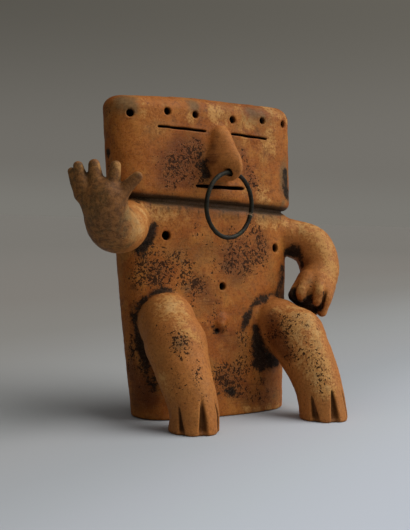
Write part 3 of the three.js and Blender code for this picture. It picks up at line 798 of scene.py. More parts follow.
RED = [
    (-40, 0, 232, 10.4, 0.9), (-28, -2, 222, 9.6, 1), (-46, -2, 216, 10.4, 0.7),
    (-31, -4, 208, 7.8, 0.7), (-22, 0, 239, 6.1, 0.7), (-13, -11, 225, 5.2, 0.7),
    (-10, -9, 235, 5.2, 0.6), (-8, -4, 246, 4.3, 0.4), (-61, -2, 205, 10.4, 0.5),
    (-125, -71, 203, 8.7, 0.4), (29, -1, 232, 5.2, 0.5), (33, -2, 217, 5.2, 0.6),
    (39, -3, 207, 5.2, 0.5), (41, -36, 80, 7.0, 0.9), (41, -46, 69, 7.8, 1),
    (43, -53, 59, 7.0, 0.9), (44, -32, 88, 5.2, 0.5), (49, -53, 84, 5.2, 0.4),
    (-81, 3, 41, 7.8, 0.8), (-79, -7, 30, 7.8, 1), (-79, -3, 16, 7.8, 0.9),
    (-73, -14, 18, 6.1, 0.9), (-83, 5, 59, 4.3, 0.4), (92, -10, 163, 4.3, 0.5),
    (95, -17, 135, 5.2, 0.7), (86, -25, 124, 4.3, 0.7), (-139, -64, 193, 7.0, 0.6),
    (-50, -37, 96, 4.3, 0.4), (-13, -17, 102, 6.1, 0.3), (-76, -84, 33, 5.2, 0.3),
    (59, -90, 20, 5.2, 0.3), (-63, -9, 128, 8.7, 0.3),
    (14, -26, 26, 12.0, 0.6), (0, -26, 33, 10.0, 0.5), (44, -26, 11, 9.0, 0.45),
    (27, -26, 14, 9.0, 0.45), (9, -13, 137, 9.0, 0.45), (46, -9, 155, 10.0, 0.5),
    (-25, -16, 111, 9.0, 0.35), (21, -12, 146, 9.0, 0.4), (42, -40, 66, 6.0, 0.5),
    (-5, -21, 74, 5.0, 0.6), (-66, -11, 120, 8.0, 0.3), (-8, -19, 92, 6.0, 0.3),
    (10, 44, 150, 16.0, 0.4), (-50, 48, 244, 12.0, 0.4), (50, 44, 175, 12.0, 0.35), (-20, 37, 90, 14.0, 0.35),
    (28, -11, 150, 18.0, 0.3), (24, -12, 134, 14.0, 0.3), (50, -9, 140, 10.0, 0.3), (9, -13, 137, 11.0, 0.4), (-25, -16, 111, 12.0, 0.45),
    (8, -21, 66, 10.0, 0.5), (-44, 0, 205, 12.0, 0.35), (10, -12, 120, 12.0, 0.3), (-50, -11, 140, 16.0, 0.25),
    (-55, -1, 222, 9.0, 0.4),
]
PITS = [
    (-72, -5, 143, 8.7, 0.8), (-78, -3, 135, 9.6, 0.9), (-68, -8, 131, 8.7, 0.9),
    (-56, -10, 135, 7.8, 0.9), (-46, -11, 140, 7.0, 0.8), (-38, -12, 133, 7.0, 0.9),
    (-75, -6, 123, 8.7, 0.9), (-64, -10, 120, 8.7, 0.8), (-47, -13, 121, 8.7, 0.9),
    (-33, -14, 118, 7.8, 0.9), (-25, -15, 115, 6.1, 0.8), (-83, 0, 117, 6.1, 0.8),
    (11, -10, 155, 7.0, 0.8), (21, -11, 148, 7.8, 0.9), (33, -10, 157, 6.1, 0.9),
    (44, -8, 162, 5.2, 0.9), (37, -11, 144, 7.8, 0.9), (48, -9, 150, 5.2, 0.8),
    (16, -12, 139, 7.0, 0.8), (28, -13, 133, 7.8, 0.9), (47, -11, 135, 6.1, 0.8),
    (6, -14, 130, 6.1, 0.8), (37, -8, 169, 5.2, 0.7), (-25, -9, 170, 4.3, 0.7),
    (-28, -10, 161, 5.2, 0.6), (-16, -11, 153, 5.2, 0.5), (-12, -11, 147, 4.3, 0.5),
    (-10, -13, 136, 5.2, 0.5), (-11, -14, 128, 5.2, 0.4), (23, -15, 121, 4.3, 0.5),
    (-33, -1, 233, 7.8, 0.7), (-41, -1, 223, 8.7, 0.8), (-25, -2, 226, 7.0, 0.8),
    (-56, -1, 218, 8.7, 0.5), (-35, -3, 211, 8.7, 0.8), (-23, -4, 207, 7.0, 0.7),
    (-5, 7, 202, 5.2, 0.6), (-47, -3, 204, 7.8, 0.6), (-19, 0, 240, 5.2, 0.8),
    (29, 0, 236, 4.3, 0.7), (31, -1, 227, 4.3, 0.8), (37, -2, 219, 5.2, 0.9),
    (39, -3, 209, 6.1, 0.9), (46, -3, 204, 5.2, 0.6), (-34, -16, 101, 5.2, 0.9),
    (-35, -17, 95, 4.3, 0.8), (-20, -17, 106, 4.3, 0.5), (-5, -17, 102, 4.3, 0.6),
    (-19, -19, 83, 5.2, 0.7), (-9, -19, 89, 4.3, 0.7), (1, -20, 76, 3.5, 0.6),
    (19, -21, 70, 7.0, 0.8), (24, -22, 61, 7.0, 0.9), (27, -23, 51, 6.1, 0.9),
    (20, -25, 41, 7.0, 1), (29, -25, 37, 5.2, 0.8), (-5, -25, 36, 7.8, 1), (5, -26, 31, 7.8, 1),
    (-13, -25, 39, 5.2, 0.9), (-3, -26, 27, 7.0, 0.9), (13, -25, 38, 7.0, 0.9),
    (-13, -26, 30, 4.3, 0.8), (2, -24, 44, 5.2, 0.8), (14, -27, 22, 6.1, 0.6),
    (-84, -52, 80, 5.2, 0.8), (-81, -62, 71, 6.1, 0.9), (-75, -63, 76, 5.2, 0.8),
    (-77, -68, 65, 5.2, 0.6), (-85, -44, 84, 3.5, 0.7), (-71, -76, 55, 3.5, 0.9),
    (-70, -79, 50, 3.5, 0.9), (-73, -81, 44, 3.0, 0.9), (-86, -73, 38, 5.2, 0.7),
    (-89, -64, 49, 5.2, 0.4), (-60, -67, 70, 4.3, 0.4), (55, -72, 61, 6.1, 0.45),
    (60, -77, 54, 6.1, 0.45), (49, -66, 59, 5.2, 0.5), (54, -76, 48, 5.2, 0.5),
    (43, -38, 85, 6.1, 0.6), (44, -51, 77, 6.1, 0.6), (55, -51, 90, 6.1, 0.5),
    (39, -35, 71, 6.1, 0.6), (55, -84, 29, 5.2, 0.6), (55, -82, 34, 3.5, 0.6),
    (59, -64, 78, 5.2, 0.4), (62, -83, 43, 5.2, 0.5), (-83, 0, 63, 5.2, 0.8),
    (-82, 4, 52, 4.3, 0.8), (-81, -4, 85, 5.2, 0.6), (-73, -14, 26, 7.0, 0.4),
    (31, -27, 16, 7.0, 0.5), (40, -26, 13, 6.1, 0.5), (84, -38, 118, 5.2, 0.7),
    (93, -40, 122, 4.3, 0.5), (109, -34, 136, 4.3, 0.4), (-107, -45, 163, 5.2, 0.4),
    (-125, -55, 159, 7.0, 0.35), (-136, -61, 166, 7.0, 0.2), (-106, -37, 149, 6.1, 0.3),
    (50, -50, 82, 12.0, 0.45), (52, -66, 66, 12.0, 0.4), (56, -80, 46, 11.0, 0.4),
    (60, -88, 30, 9.0, 0.4), (44, -44, 74, 9.0, 0.6), (66, -58, 84, 9.0, 0.4), (46, -58, 52, 8.0, 0.5),
    (24, -12, 143, 12.0, 0.3), (46, -10, 142, 9.0, 0.4), (6, -11, 146, 9.0, 0.4), (10, -26, 30, 13.0, 0.5),
    (-60, -12, 112, 8.0, 0.4), (-79, 5, 100, 9.0, 0.5), (-80, 6, 78, 9.0, 0.5), (-80, 4, 40, 12.0, 0.5),
    (-74, -52, 86, 12.0, 0.35), (-72, -70, 62, 12.0, 0.35), (-74, -82, 40, 11.0, 0.35),
    (-66, -88, 22, 9.0, 0.3), (104, -30, 118, 8.0, 0.4), (112, -22, 134, 8.0, 0.3),
    (-120, -52, 158, 9.0, 0.15), (-8, -15, 120, 8.0, 0.35), (30, -18, 96, 9.0, 0.35), (-4, -20, 80, 8.0, 0.4),
    (30, 49, 232, 15.0, 0.45), (-45, 42, 150, 17.0, 0.45), (-18, 39, 112, 15.0, 0.5),
    (45, 35, 62, 15.0, 0.45), (-55, 34, 62, 13.0, 0.45), (60, 46, 202, 12.0, 0.4), (-70, 46, 216, 11.0, 0.45),
    (88, 18, 135, 9.0, 0.45), (85, 15, 90, 11.0, 0.4), (96, 20, 240, 9.0, 0.4), (24, 42, 140, 12.0, 0.4),
    (30, -11, 146, 10.0, 0.4), (40, -9, 158, 8.0, 0.4), (-30, 38, 30, 10.0, 0.4),
    (40, -9, 160, 10.0, 0.35), (12, -11, 158, 9.0, 0.4), (14, -12, 140, 9.0, 0.35), (52, -9, 146, 8.0, 0.35),
    (-2, -12, 150, 8.0, 0.3), (38, -12, 126, 8.0, 0.3),
    (-116, -48, 172, 9.0, 0.15), (-126, -56, 168, 10.0, 0.15),
    (-24, -2, 224, 8.0, 0.3), (-20, -3, 212, 7.0, 0.35), (-50, -1, 214, 10.0, 0.3),
]

# marks that run, soot and painted shade along the thighs: path, radius, strength
SOOT_AND_SHADE_STREAKS = [
    ([(81, -36, 84), (85, -50, 76), (85.5, -57, 70), (86, -66, 57), (86.3, -74, 42), (86.3, -80, 30),
      (86.3, -86, 17)], 2.6, 0.27),
    ([(-53, -13.5, 109), (-61, -12, 109), (-69, -10, 106)], 2.6, 0.26),
    ([(47, -15, 102), (54, -13.5, 105), (61, -12, 106), (67, -10.5, 105)], 2.4, 0.26),
    ([(20, -20, 74), (23, -19.5, 82), (27, -18.5, 90), (33, -17, 96), (40, -16, 100), (47, -15, 101.5)], 2.6, 0.28),
    ([(-60, -12, 111), (-68, -10, 108), (-74, -7.5, 103), (-78, -5, 97), (-80, -3, 89), (-80, -4, 80),
      (-79, -5, 71), (-78, -7, 62), (-77, -9, 54)], 2.6, 0.30),
    ([(-84, 0, 100), (-85, 2, 80), (-83, 1, 60), (-81, -2, 44)], 3.0, 0.16),
]


def streak(path, radius, strength):
    """Patches strung closely along a path, for a mark that runs."""
    path = np.array(path, float)
    out = []
    for a, b in zip(path[:-1], path[1:]):
        n = max(1, int(np.linalg.norm(b - a) / (0.8 * radius)))
        out += [(*(a + (b - a) * k / n), radius, strength) for k in range(n)]
    return out + [(*path[-1], radius, strength)]


for path, radius, strength in SOOT_AND_SHADE_STREAKS:
    SOOT_AND_SHADE += streak(path, radius, strength)


def tint(p, patches):
    """How strongly each point lies in a list of soft round patches, 0 to about 1."""
    keep = np.ones(len(p))
    for x, y, z, r, s in patches:
        q = p - (x, y, z)
        d2 = np.einsum("ij,ij->i", q, q) / (1.35 * r) ** 2
        m = d2 < 4.0
        keep[m] *= 1.0 - s * np.exp(-((d2[m]) ** 1.3) * 0.9)
    return 1.0 - keep


def attribute(mesh, name, values):
    mesh.attributes.new(name, "FLOAT", "POINT").data.foreach_set(
        "value", np.asarray(values, np.float32)
    )


def mesh_of(name, verts_mm, faces, material):
    mesh = bpy.data.meshes.new(name)
    mesh.from_pydata((verts_mm / 1000.0).tolist(), [], faces.tolist())
    mesh.validate()
    mesh.update()
    mesh.polygons.foreach_set("use_smooth", [True] * len(mesh.polygons))
    mesh.materials.append(material)
    obj = bpy.data.objects.new(name, mesh)
    bpy.context.scene.collection.objects.link(obj)
    return obj


def coords(mesh):
    co = np.zeros(len(mesh.vertices) * 3)
    mesh.vertices.foreach_get("co", co)
    return co.reshape(-1, 3)


def mend(mesh):
    """Close the few spots where thinning left an edge with more or fewer than two faces."""
    bm = bmesh.new()
    bm.from_mesh(mesh)
    bmesh.ops.remove_doubles(bm, verts=bm.verts, dist=2e-6)
    for _ in range(5):
        bad = [e for e in bm.edges if len(e.link_faces) != 2]
        if not bad:
            break
        near = {f for e in bad for v in e.verts for f in v.link_faces}
        bmesh.ops.delete(bm, geom=list(near), context="FACES")
        rim = [e for e in bm.edges if len(e.link_faces) == 1]
        bmesh.ops.holes_fill(bm, edges=rim, sides=0)
        bmesh.ops.triangulate(bm, faces=[f for f in bm.faces if len(f.verts) > 3])
    bmesh.ops.recalc_face_normals(bm, faces=bm.faces)
    for f in bm.faces:
        f.smooth = True
    bm.to_mesh(mesh)
    bm.free()
    mesh.update()


# ---------------------------------------------------------------- materials
class Tree:
    """Short words for building a node tree."""

    def __init__(self, name):
        self.mat = bpy.data.materials.new(name)
        self.mat.use_nodes = True
        self.t = self.mat.node_tree
        self.t.nodes.clear()
        self.out = self.t.nodes.new("ShaderNodeOutputMaterial")
        self.bsdf = self.t.nodes.new("ShaderNodeBsdfPrincipled")
        self.t.links.new(self.bsdf.outputs[0], self.out.inputs[0])
        self.pos = self.t.nodes.new("ShaderNodeTexCoord").outputs["Object"]

    def put(self, socket, value):
        if hasattr(value, "is_output"):
            self.t.links.new(value, socket)
        elif value is not None:
            socket.default_value = value

    def node(self, kind, out=0, props=None, **inputs):
        n = self.t.nodes.new(kind)
        for k, v in (props or {}).items():
            setattr(n, k, v)
        for k, v in inputs.items():
            key = int(k[1:]) if k[0] == "_" else k.replace("_", " ")
            self.put(n.inputs[key], v)
        return n.outputs[out]

    def attr(self, name):
        return self.node("ShaderNodeAttribute", "Fac", {"attribute_name": name})

    def math(self, op, a, b=None, c=None, clamp=False):
        n = self.t.nodes.new("ShaderNodeMath")
        n.operation, n.use_clamp = op, clamp
        for s, v in zip(n.inputs, (a, b, c)):
            self.put(s, v)
        return n.outputs[0]

    def noise(self, scale, detail=2.0, rough=0.5, vector=None, distortion=0.0, out="Fac"):
        return self.node(
            "ShaderNodeTexNoise", out, Vector=vector or self.pos, Scale=scale, Detail=detail,
            Roughness=rough, Distortion=distortion,
        )

    def span(self, value, a, b, lo=0.0, hi=1.0, smooth=True):
        return self.node(
            "ShaderNodeMapRange", 0,
            {"interpolation_type": "SMOOTHSTEP" if smooth else "LINEAR"},
            Value=value, From_Min=a, From_Max=b, To_Min=lo, To_Max=hi,
        )

    def mix(self, fac, a, b, blend="MIX"):
        n = self.t.nodes.new("ShaderNodeMix")
        n.data_type, n.blend_type = "RGBA", blend
        n.clamp_factor = True
        self.put(n.inputs[0], fac)
        self.put(n.inputs[6], a)
        self.put(n.inputs[7], b)
        return n.outputs[2]

    def stretched(self, x, y, z):
        return self.node("ShaderNodeMapping", 0, Vector=self.pos, Scale=(x, y, z))


def rgb(r, g, b):
    """A colour as it is seen on screen, 0 to 255, as a linear one."""
    return tuple(
        (c / 255 / 12.92 if c / 255 <= 0.04045 else ((c / 255 + 0.055) / 1.055) ** 2.4)
        for c in (r, g, b)
    ) + (1.0,)


def clay_material():
    m = Tree("burnished_terracotta")
    warped = m.node(
        "ShaderNodeVectorMath", 0, {"operation": "MULTIPLY_ADD"},
        _0=m.noise(170, 2, 0.55, out="Color"), _1=(0.004, 0.004, 0.004), _2=m.pos,
    )
    limb = m.attr("limb")
    broad = m.noise(17, 3, 0.55)
    cloud = m.noise(48, 4, 0.62, warped)
    mottle = m.noise(150, 4, 0.66, warped)
    little = m.node(
        "ShaderNodeVectorMath", 0, {"operation": "MULTIPLY_ADD"},
        _0=m.noise(520, 1, 0.5, out="Color"), _1=(0.0012, 0.0012, 0.0012), _2=m.pos,
    )
    grain = m.noise(460, 3, 0.62, little)
    fine = m.noise(1100, 2, 0.6)
    # slip: orange-brown, in paler and redder clouds
    col = m.mix(m.span(broad, 0.38, 0.62), rgb(*SLIP_DEEP), rgb(*SLIP))
    col = m.mix(m.math("MULTIPLY", m.span(cloud, 0.46, 0.66), 0.60), col, rgb(*SLIP_BRIGHT))
    col = m.mix(m.math("MULTIPLY", m.span(mottle, 0.50, 0.68), 0.42), col, rgb(*SLIP_RED))
    col = m.mix(m.math("MULTIPLY", m.span(mottle, 0.48, 0.32), 0.42), col, rgb(*SLIP_DARK))
    olive = m.noise(
        30, 4, 0.62, m.node("ShaderNodeVectorMath", 0, {"operation": "ADD"}, _0=warped, _1=(7.1,) * 3)
    )
    col = m.mix(m.math("MULTIPLY", m.span(olive, 0.50, 0.64), 0.42), col, rgb(*OLIVE))
    # the limbs and the nose were left paler than the slab
    col = m.mix(m.math("MULTIPLY", limb, 0.55), col, rgb(*LIMB))
    # strokes of the burnishing stone and the brush, side to side
    strokes = m.noise(1.0, 4, 0.6, m.stretched(60, 60, 620))
    strokes = m.span(strokes, 0.50, 0.66)
    # an uneven edge for every patch: broad clouds broken up by grain
    edge = m.math("MULTIPLY", m.math("SUBTRACT", cloud, 0.5), 1.2)
    edge = m.math("MULTIPLY_ADD", m.math("SUBTRACT", mottle, 0.5), 1.1, edge)
    edge = m.math("MULTIPLY_ADD", m.math("SUBTRACT", grain, 0.5), 0.9, edge)

    def patch(name, lo, hi, spread=1.0):
        v = m.math("MULTIPLY_ADD", edge, spread, m.attr(name))
        # nothing grows where the patch isn't
        return m.math("MULTIPLY", m.span(v, lo, hi), m.span(m.attr(name), 0.02, 0.20))

    red = patch("red", 0.10, 0.85)
    col = m.mix(m.math("MULTIPLY", red, 0.72), col, rgb(*RED_BROWN))
    worn = patch("tan", 0.14, 0.84, 1.5)
    col = m.mix(m.math("MULTIPLY", worn, 0.80), col, rgb(*OCHRE))
    pale = m.math("MULTIPLY", m.span(m.attr("tan"), 0.40, 0.95), m.span(mottle, 0.44, 0.66))
    col = m.mix(m.math("MULTIPLY", pale, 0.55), col, rgb(*PALE))
    # the raised hand is browner, in blots
    brown = m.span(m.math("MULTIPLY_ADD", edge, 1.3, m.attr("brown")), 0.20, 0.80)
    brown = m.math("MULTIPLY", brown, m.span(m.attr("brown"), 0.0, 0.25))
    blots = m.noise(240, 3, 0.6, warped)
    brown = m.math("MULTIPLY", brown, m.span(blots, 0.40, 0.60, 0.40, 1.0))
    brown = m.math("MULTIPLY", brown, m.span(m.attr("tan"), 0.75, 0.20, 0.25, 1.0))
    hide = m.mix(m.span(cloud, 0.42, 0.58), rgb(*BROWN), rgb(*BROWN_OLIVE))
    ground = m.math("MULTIPLY", m.attr("brown"), m.span(m.attr("tan"), 0.75, 0.20, 0.25, 0.55))
    col = m.mix(ground, col, rgb(*HAND_TAN))
    col = m.mix(m.math("MULTIPLY", brown, 0.82), col, hide)
    col = m.mix(
        m.math("MULTIPLY", strokes, m.math("MULTIPLY_ADD", red, 0.55, 0.12)), col, rgb(*SLIP_DARK)
    )
    grey = patch("grey", 0.10, 0.95, 0.9)
    col = m.mix(m.math("MULTIPLY", grey, 0.66), col, rgb(*GREY_SMUDGE))
    # dust and painted shade lie in the hollows: darker where the surface is closed in
    dust_and_shade_in_hollows = m.span(m.math("MULTIPLY_ADD", edge, 0.22, m.attr("crevice_dust_and_shade")), 0.26, 0.95)
    col = m.mix(m.math("MULTIPLY", dust_and_shade_in_hollows, 0.80), col, rgb(*HOLLOW_DUST_AND_SHADE))
    # mineral specks: single grains and strings of them, thick in the patches, rare elsewhere
    dense = m.math("MULTIPLY", m.attr("pits"), m.span(cloud, 0.36, 0.58, 0.66, 1.10))
    dense = m.math("MULTIPLY_ADD", m.attr("red"), 0.20, dense)
    dense = m.math("POWER", m.math("MAXIMUM", dense, 0.0), 0.75)
    specks = rims = None
    for scale, seed, rare, thick, soft in SPECKS:
        n = m.noise(
            scale, 2.5, 0.55,
            m.node("ShaderNodeVectorMath", 0, {"operation": "ADD"}, _0=warped, _1=(seed,) * 3),
        )
        bar = m.math("MULTIPLY_ADD", dense, thick - rare, rare)
        over = m.math("SUBTRACT", n, bar)
        one = m.span(over, 0.0, soft)
        specks = one if specks is None else m.math("MAXIMUM", specks, one)
        rim = m.span(over, -0.045, -0.015)
        rims = rim if rims is None else m.math("MAXIMUM", rims, rim)
    # the slip has lifted round each speck
    rims = m.math("MULTIPLY", m.math("MULTIPLY", rims, dense), m.span(fine, 0.44, 0.56))
    col = m.mix(m.math("MULTIPLY", rims, 0.34), col, rgb(*SPALL))
    pit = m.mix(m.attr("red"), rgb(*PIT), rgb(*PIT_BROWN))
    col = m.mix(m.math("MULTIPLY", specks, 0.90), col, pit)
    # soot and the fire's clouding, with painted shade beside the nose, under the arms and fist and along the thighs,
    # soft at the rim and grainy inside
    grainy_soot_and_shade = m.math("MULTIPLY_ADD", edge, 1.25, m.attr("soot_and_shade"))
    grainy_soot_and_shade = m.math("MULTIPLY", m.span(grainy_soot_and_shade, 0.30, 0.70), m.span(m.attr("soot_and_shade"), 0.04, 0.24))
    soft_soot_and_shade = m.math("MULTIPLY", m.span(m.attr("soot_and_shade"), 0.12, 0.98), m.span(mottle, 0.34, 0.60, 0.45, 0.85))
    soot_and_shade = m.math("MAXIMUM", grainy_soot_and_shade, soft_soot_and_shade)
    soot_and_shade_tone = m.mix(m.span(grain, 0.46, 0.70), rgb(*SOOT_AND_SHADE_COLOUR), rgb(*SOOT_AND_SHADE_GREY))
    col = m.mix(m.math("MULTIPLY", soot_and_shade, 0.95), col, soot_and_shade_tone)
    # the chest is browner close under the head
    under = m.math("MULTIPLY", m.attr("below_neck"), m.span(cloud, 0.36, 0.60, 0.15, 0.62))
    col = m.mix(under, col, rgb(*UNDER))
    # the black line pressed in under the head, run down here and there
    runs = m.noise(1.0, 3, 0.6, m.stretched(230, 230, 26))
    neck = m.math("MULTIPLY_ADD", edge, 0.35, m.attr("neck"))
    neck = m.math("MULTIPLY", m.span(neck, 0.16, 0.66), m.span(m.attr("neck"), 0.02, 0.14))
    drip = m.math("MULTIPLY", m.attr("below_neck"), m.span(runs, 0.50, 0.62))
    neck = m.math("MAXIMUM", neck, m.math("MULTIPLY", drip, 0.75))
    col = m.mix(m.math("MULTIPLY", neck, 0.90), col, rgb(*NECK_BLACK))
    # painted shade: the walls inside the holes, slits, toe clefts and nostril bore are darkened
    col = m.mix(m.attr("deep"), col, rgb(26, 9, 4))
    # grain of the fired surface, lighter and darker points
    dark = m.mix(1.0, col, rgb(150, 138, 126), "MULTIPLY")
    col = m.mix(m.span(grain, 0.52, 0.34, 0.0, 0.42), col, dark)
    lift = m.mix(1.0, col, rgb(92, 84, 76), "ADD")
    col = m.mix(m.span(fine, 0.52, 0.72, 0.0, 0.30), col, lift)
    col = m.mix(m.span(fine, 0.46, 0.30, 0.0, 0.30), col, dark)
    m.put(m.bsdf.inputs["Base Color"], col)
    rough = m.span(mottle, 0.30, 0.70, 0.52, 0.70)
    rough = m.math("MULTIPLY_ADD", specks, 0.26, rough)
    rough = m.math("MULTIPLY_ADD", dust_and_shade_in_hollows, 0.15, rough)
    rough = m.math("MULTIPLY_ADD", soot_and_shade, 0.24, rough)
    rough = m.math("MULTIPLY_ADD", worn, 0.10, rough)
    rough = m.math("MINIMUM", rough, 0.95)
    m.put(m.bsdf.inputs["Roughness"], rough)
    m.bsdf.inputs["Specular IOR Level"].default_value = 0.15
    # bump: burnished facets, grain, strokes, and specks that are partly pits
    height = m.math("MULTIPLY", cloud, 0.35)
    height = m.math("MULTIPLY_ADD", mottle, 0.26, height)
    height = m.math("MULTIPLY_ADD", grain, 0.13, height)
    height = m.math("MULTIPLY_ADD", fine, 0.035, height)
    height = m.math("MULTIPLY_ADD", strokes, 0.05, height)
    height = m.math("MULTIPLY_ADD", specks, -0.22, height)
    height = m.math("MULTIPLY_ADD", m.math("MULTIPLY", worn, grain), 0.10, height)
    bump = m.node("ShaderNodeBump", 0, Height=height, Distance=0.0012, Strength=0.8)
    m.put(m.bsdf.inputs["Normal"], bump)
    return m.mat


def ring_material():
    m = Tree("patinated_copper_alloy")
    warped = m.node(
        "ShaderNodeVectorMath", 0, {"operation": "MULTIPLY_ADD"},
        _0=m.noise(400, 2, 0.5, out="Color"), _1=(0.002, 0.002, 0.002), _2=m.pos,
    )
    cloud = m.noise(120, 3, 0.6, warped)
    spots = m.noise(520, 3, 0.65, warped)
    grain = m.noise(1500, 2, 0.6)
    col = m.mix(m.span(cloud, 0.35, 0.65), rgb(21, 19, 10), rgb(35, 33, 19))
    green = m.math("MULTIPLY", m.span(spots, 0.52, 0.68), m.span(cloud, 0.42, 0.60))
    col = m.mix(m.math("MULTIPLY", green, 0.60), col, rgb(40, 66, 46))
    brown = m.math("MULTIPLY", m.span(spots, 0.46, 0.34), 0.45)
    col = m.mix(brown, col, rgb(50, 37, 22))
    bare = m.attr("bare")
    col = m.mix(bare, col, rgb(150, 134, 104))
    m.put(m.bsdf.inputs["Base Color"], col)
    m.bsdf.inputs["Metallic"].default_value = 0.12
    m.bsdf.inputs["Specular IOR Level"].default_value = 0.22
    m.put(
        m.bsdf.inputs["Roughness"],
        m.math("ADD", m.span(spots, 0.30, 0.70, 0.42, 0.64), m.math("MULTIPLY", green, 0.25)),
    )
    height = m.math("MULTIPLY", cloud, 0.5)
    height = m.math("MULTIPLY_ADD", spots, 0.30, height)
    height = m.math("MULTIPLY_ADD", grain, 0.06, height)
    bump = m.node("ShaderNodeBump", 0, Height=height, Distance=0.0004, Strength=0.7)
    m.put(m.bsdf.inputs["Normal"], bump)
    return m.mat


# colours as seen under the studio light
SLIP, SLIP_DEEP, SLIP_BRIGHT = (164, 97, 37), (143, 78, 24), (184, 121, 52)
SLIP_RED, SLIP_DARK, LIMB, OLIVE = (146, 72, 26), (92, 50, 19), (178, 116, 60), (138, 96, 46)
RED_BROWN, OCHRE, PALE = (97, 48, 17), (194, 144, 82), (196, 162, 112)
BROWN, BROWN_OLIVE, UNDER = (88, 56, 29), (86, 64, 36), (92, 60, 32)
HAND_TAN = (136, 98, 56)
# HOLLOW_DUST_AND_SHADE is dust and painted shade for the closed-in hollows
GREY_SMUDGE, HOLLOW_DUST_AND_SHADE, PIT, PIT_BROWN = (88, 80, 56), (50, 30, 10), (31, 15, 3), (46, 23, 6)
SPALL = (186, 118, 62)
# the soot colours also serve as painted shade
SOOT_AND_SHADE_COLOUR, SOOT_AND_SHADE_GREY, NECK_BLACK = (17, 12, 7), (43, 34, 22), (43, 30, 12)
# scale, shift, threshold where rare, threshold where thick, softness
SPECKS = [
    (350, 0.0, 0.775, 0.526, 0.035),
    (660, 3.7, 0.800, 0.548, 0.040),
]

clay = clay_material()
step_mm = 1.12
values, corner = sampled(step_mm)
verts, quads = surface_nets(values, corner, step_mm)
del values
verts, _ = settle(verts, 1, 0.8)
figure = mesh_of("terracotta_figure", verts, quads, clay)
thin = figure.modifiers.new("thin", "DECIMATE")
thin.ratio = 192000.0 / (2 * len(quads))
thin.use_collapse_triangulate = True
fewer = bpy.data.meshes.new_from_object(
    figure.evaluated_get(bpy.context.evaluated_depsgraph_get())
)
figure.modifiers.clear()
figure.data = fewer
fewer.name = "terracotta_figure"
mesh = figure.data
points = coords(mesh) * 1000.0
points, normals = settle(points, 2, 0.35)
mesh.vertices.foreach_set("co", (points / 1000.0).ravel())
mesh.update()
mend(mesh)
points, normals = settle(coords(mesh) * 1000.0, 1, 0.35)

# how closed in each point is, from the field a few millimetres off the surface; it drives the dust and painted shade
# in the hollows
closed = np.zeros(len(points))
for reach, weight in ((2.5, 0.30), (6.0, 0.40), (13.0, 0.30)):
    d = field(points + normals * reach)
    closed += weight * np.clip(1.0 - d / reach, 0.0, 1.3)
uncut = before_cuts(points)
# painted shade inside the cuts: how far a point lies within the uncut body, weaker in the toe clefts and bore
deep = step(-uncut, 1.6, 4.5)
toe_or_bore = np.zeros(len(points), bool)
for part in TOE_PARTS:
    toe_or_bore |= part.near(points, 1.0)
deep[toe_or_bore] = 0.5 * step(-uncut[toe_or_bore], 0.7, 3.2)
neck_at = neck_height(points[:, 0], points[:, 2]) - NECK_Z
off_slab = slab(points)
on_slab = 1.0 - step(off_slab, 1.5, 4.5)
for arm in ARMS:
    m = arm.near(points, 9.0)
    on_slab[m] *= step(arm.fn(points[m]), -0.5, 6.0)
knob_gap = np.linalg.norm(points - (kx, knob_y, kz), axis=1)
attribute(mesh, "limb", step(off_slab, 0.3, 7.0) * step(knob_gap, 14.0, 20.0))
attribute(mesh, "neck", on_slab * np.exp(-((neck_at / 4.7) ** 2)))
attribute(
    mesh, "below_neck", on_slab * step(neck_at, -15.0, -5.0) * (1 - step(neck_at, -2.0, 1.0))
)
hand_brown = 1.0 - step(np.linalg.norm((points - in_hand(-6, -6)) / (1.05, 1.05, 1.3), axis=1), 26, 54)
attribute(mesh, "crevice_dust_and_shade", closed)
attribute(mesh, "deep", deep)
attribute(mesh, "soot_and_shade", tint(points, SOOT_AND_SHADE))
attribute(mesh, "grey", tint(points, GREY))
attribute(mesh, "tan", tint(points, TAN))
attribute(mesh, "red", tint(points, RED))
attribute(mesh, "pits", tint(points, PITS))
attribute(mesh, "brown", hand_brown)
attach(figure, "root")
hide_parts("ceramic_figure")

# ---------------------------------------------------------------- the nose ring
RING_SIDES, RING_STEPS = ((28, 420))
half_gap = RING_GAP / RING_R / 2
angle = math.radians(RING_GAP_AT) + half_gap
span = 2 * math.pi - 2 * half_gap
s = np.linspace(0.0, 1.0, RING_STEPS)
a = angle + s * span
out = np.outer(np.cos(a), ring_x) + np.outer(np.sin(a), (0, 0, 1))
side = np.cross(ring_x, (0.0, 0.0, 1.0))
rng = np.random.default_rng(5)


def wobble(t, count, top, seed):
    r = np.random.default_rng(seed)
    k = r.integers(2, top, count)
    ph = r.uniform(0, 2 * math.pi, count)
    return np.sin(2 * math.pi * np.outer(t, k) + ph).sum(1) / math.sqrt(count)


radius = WIRE_R * (1 + 0.025 * wobble(s, 6, 24, 1) + 0.012 * wobble(s, 8, 90, 2))
bend = 0.16 * wobble(s, 4, 7, 3)
sway = 0.12 * wobble(s, 4, 6, 4)
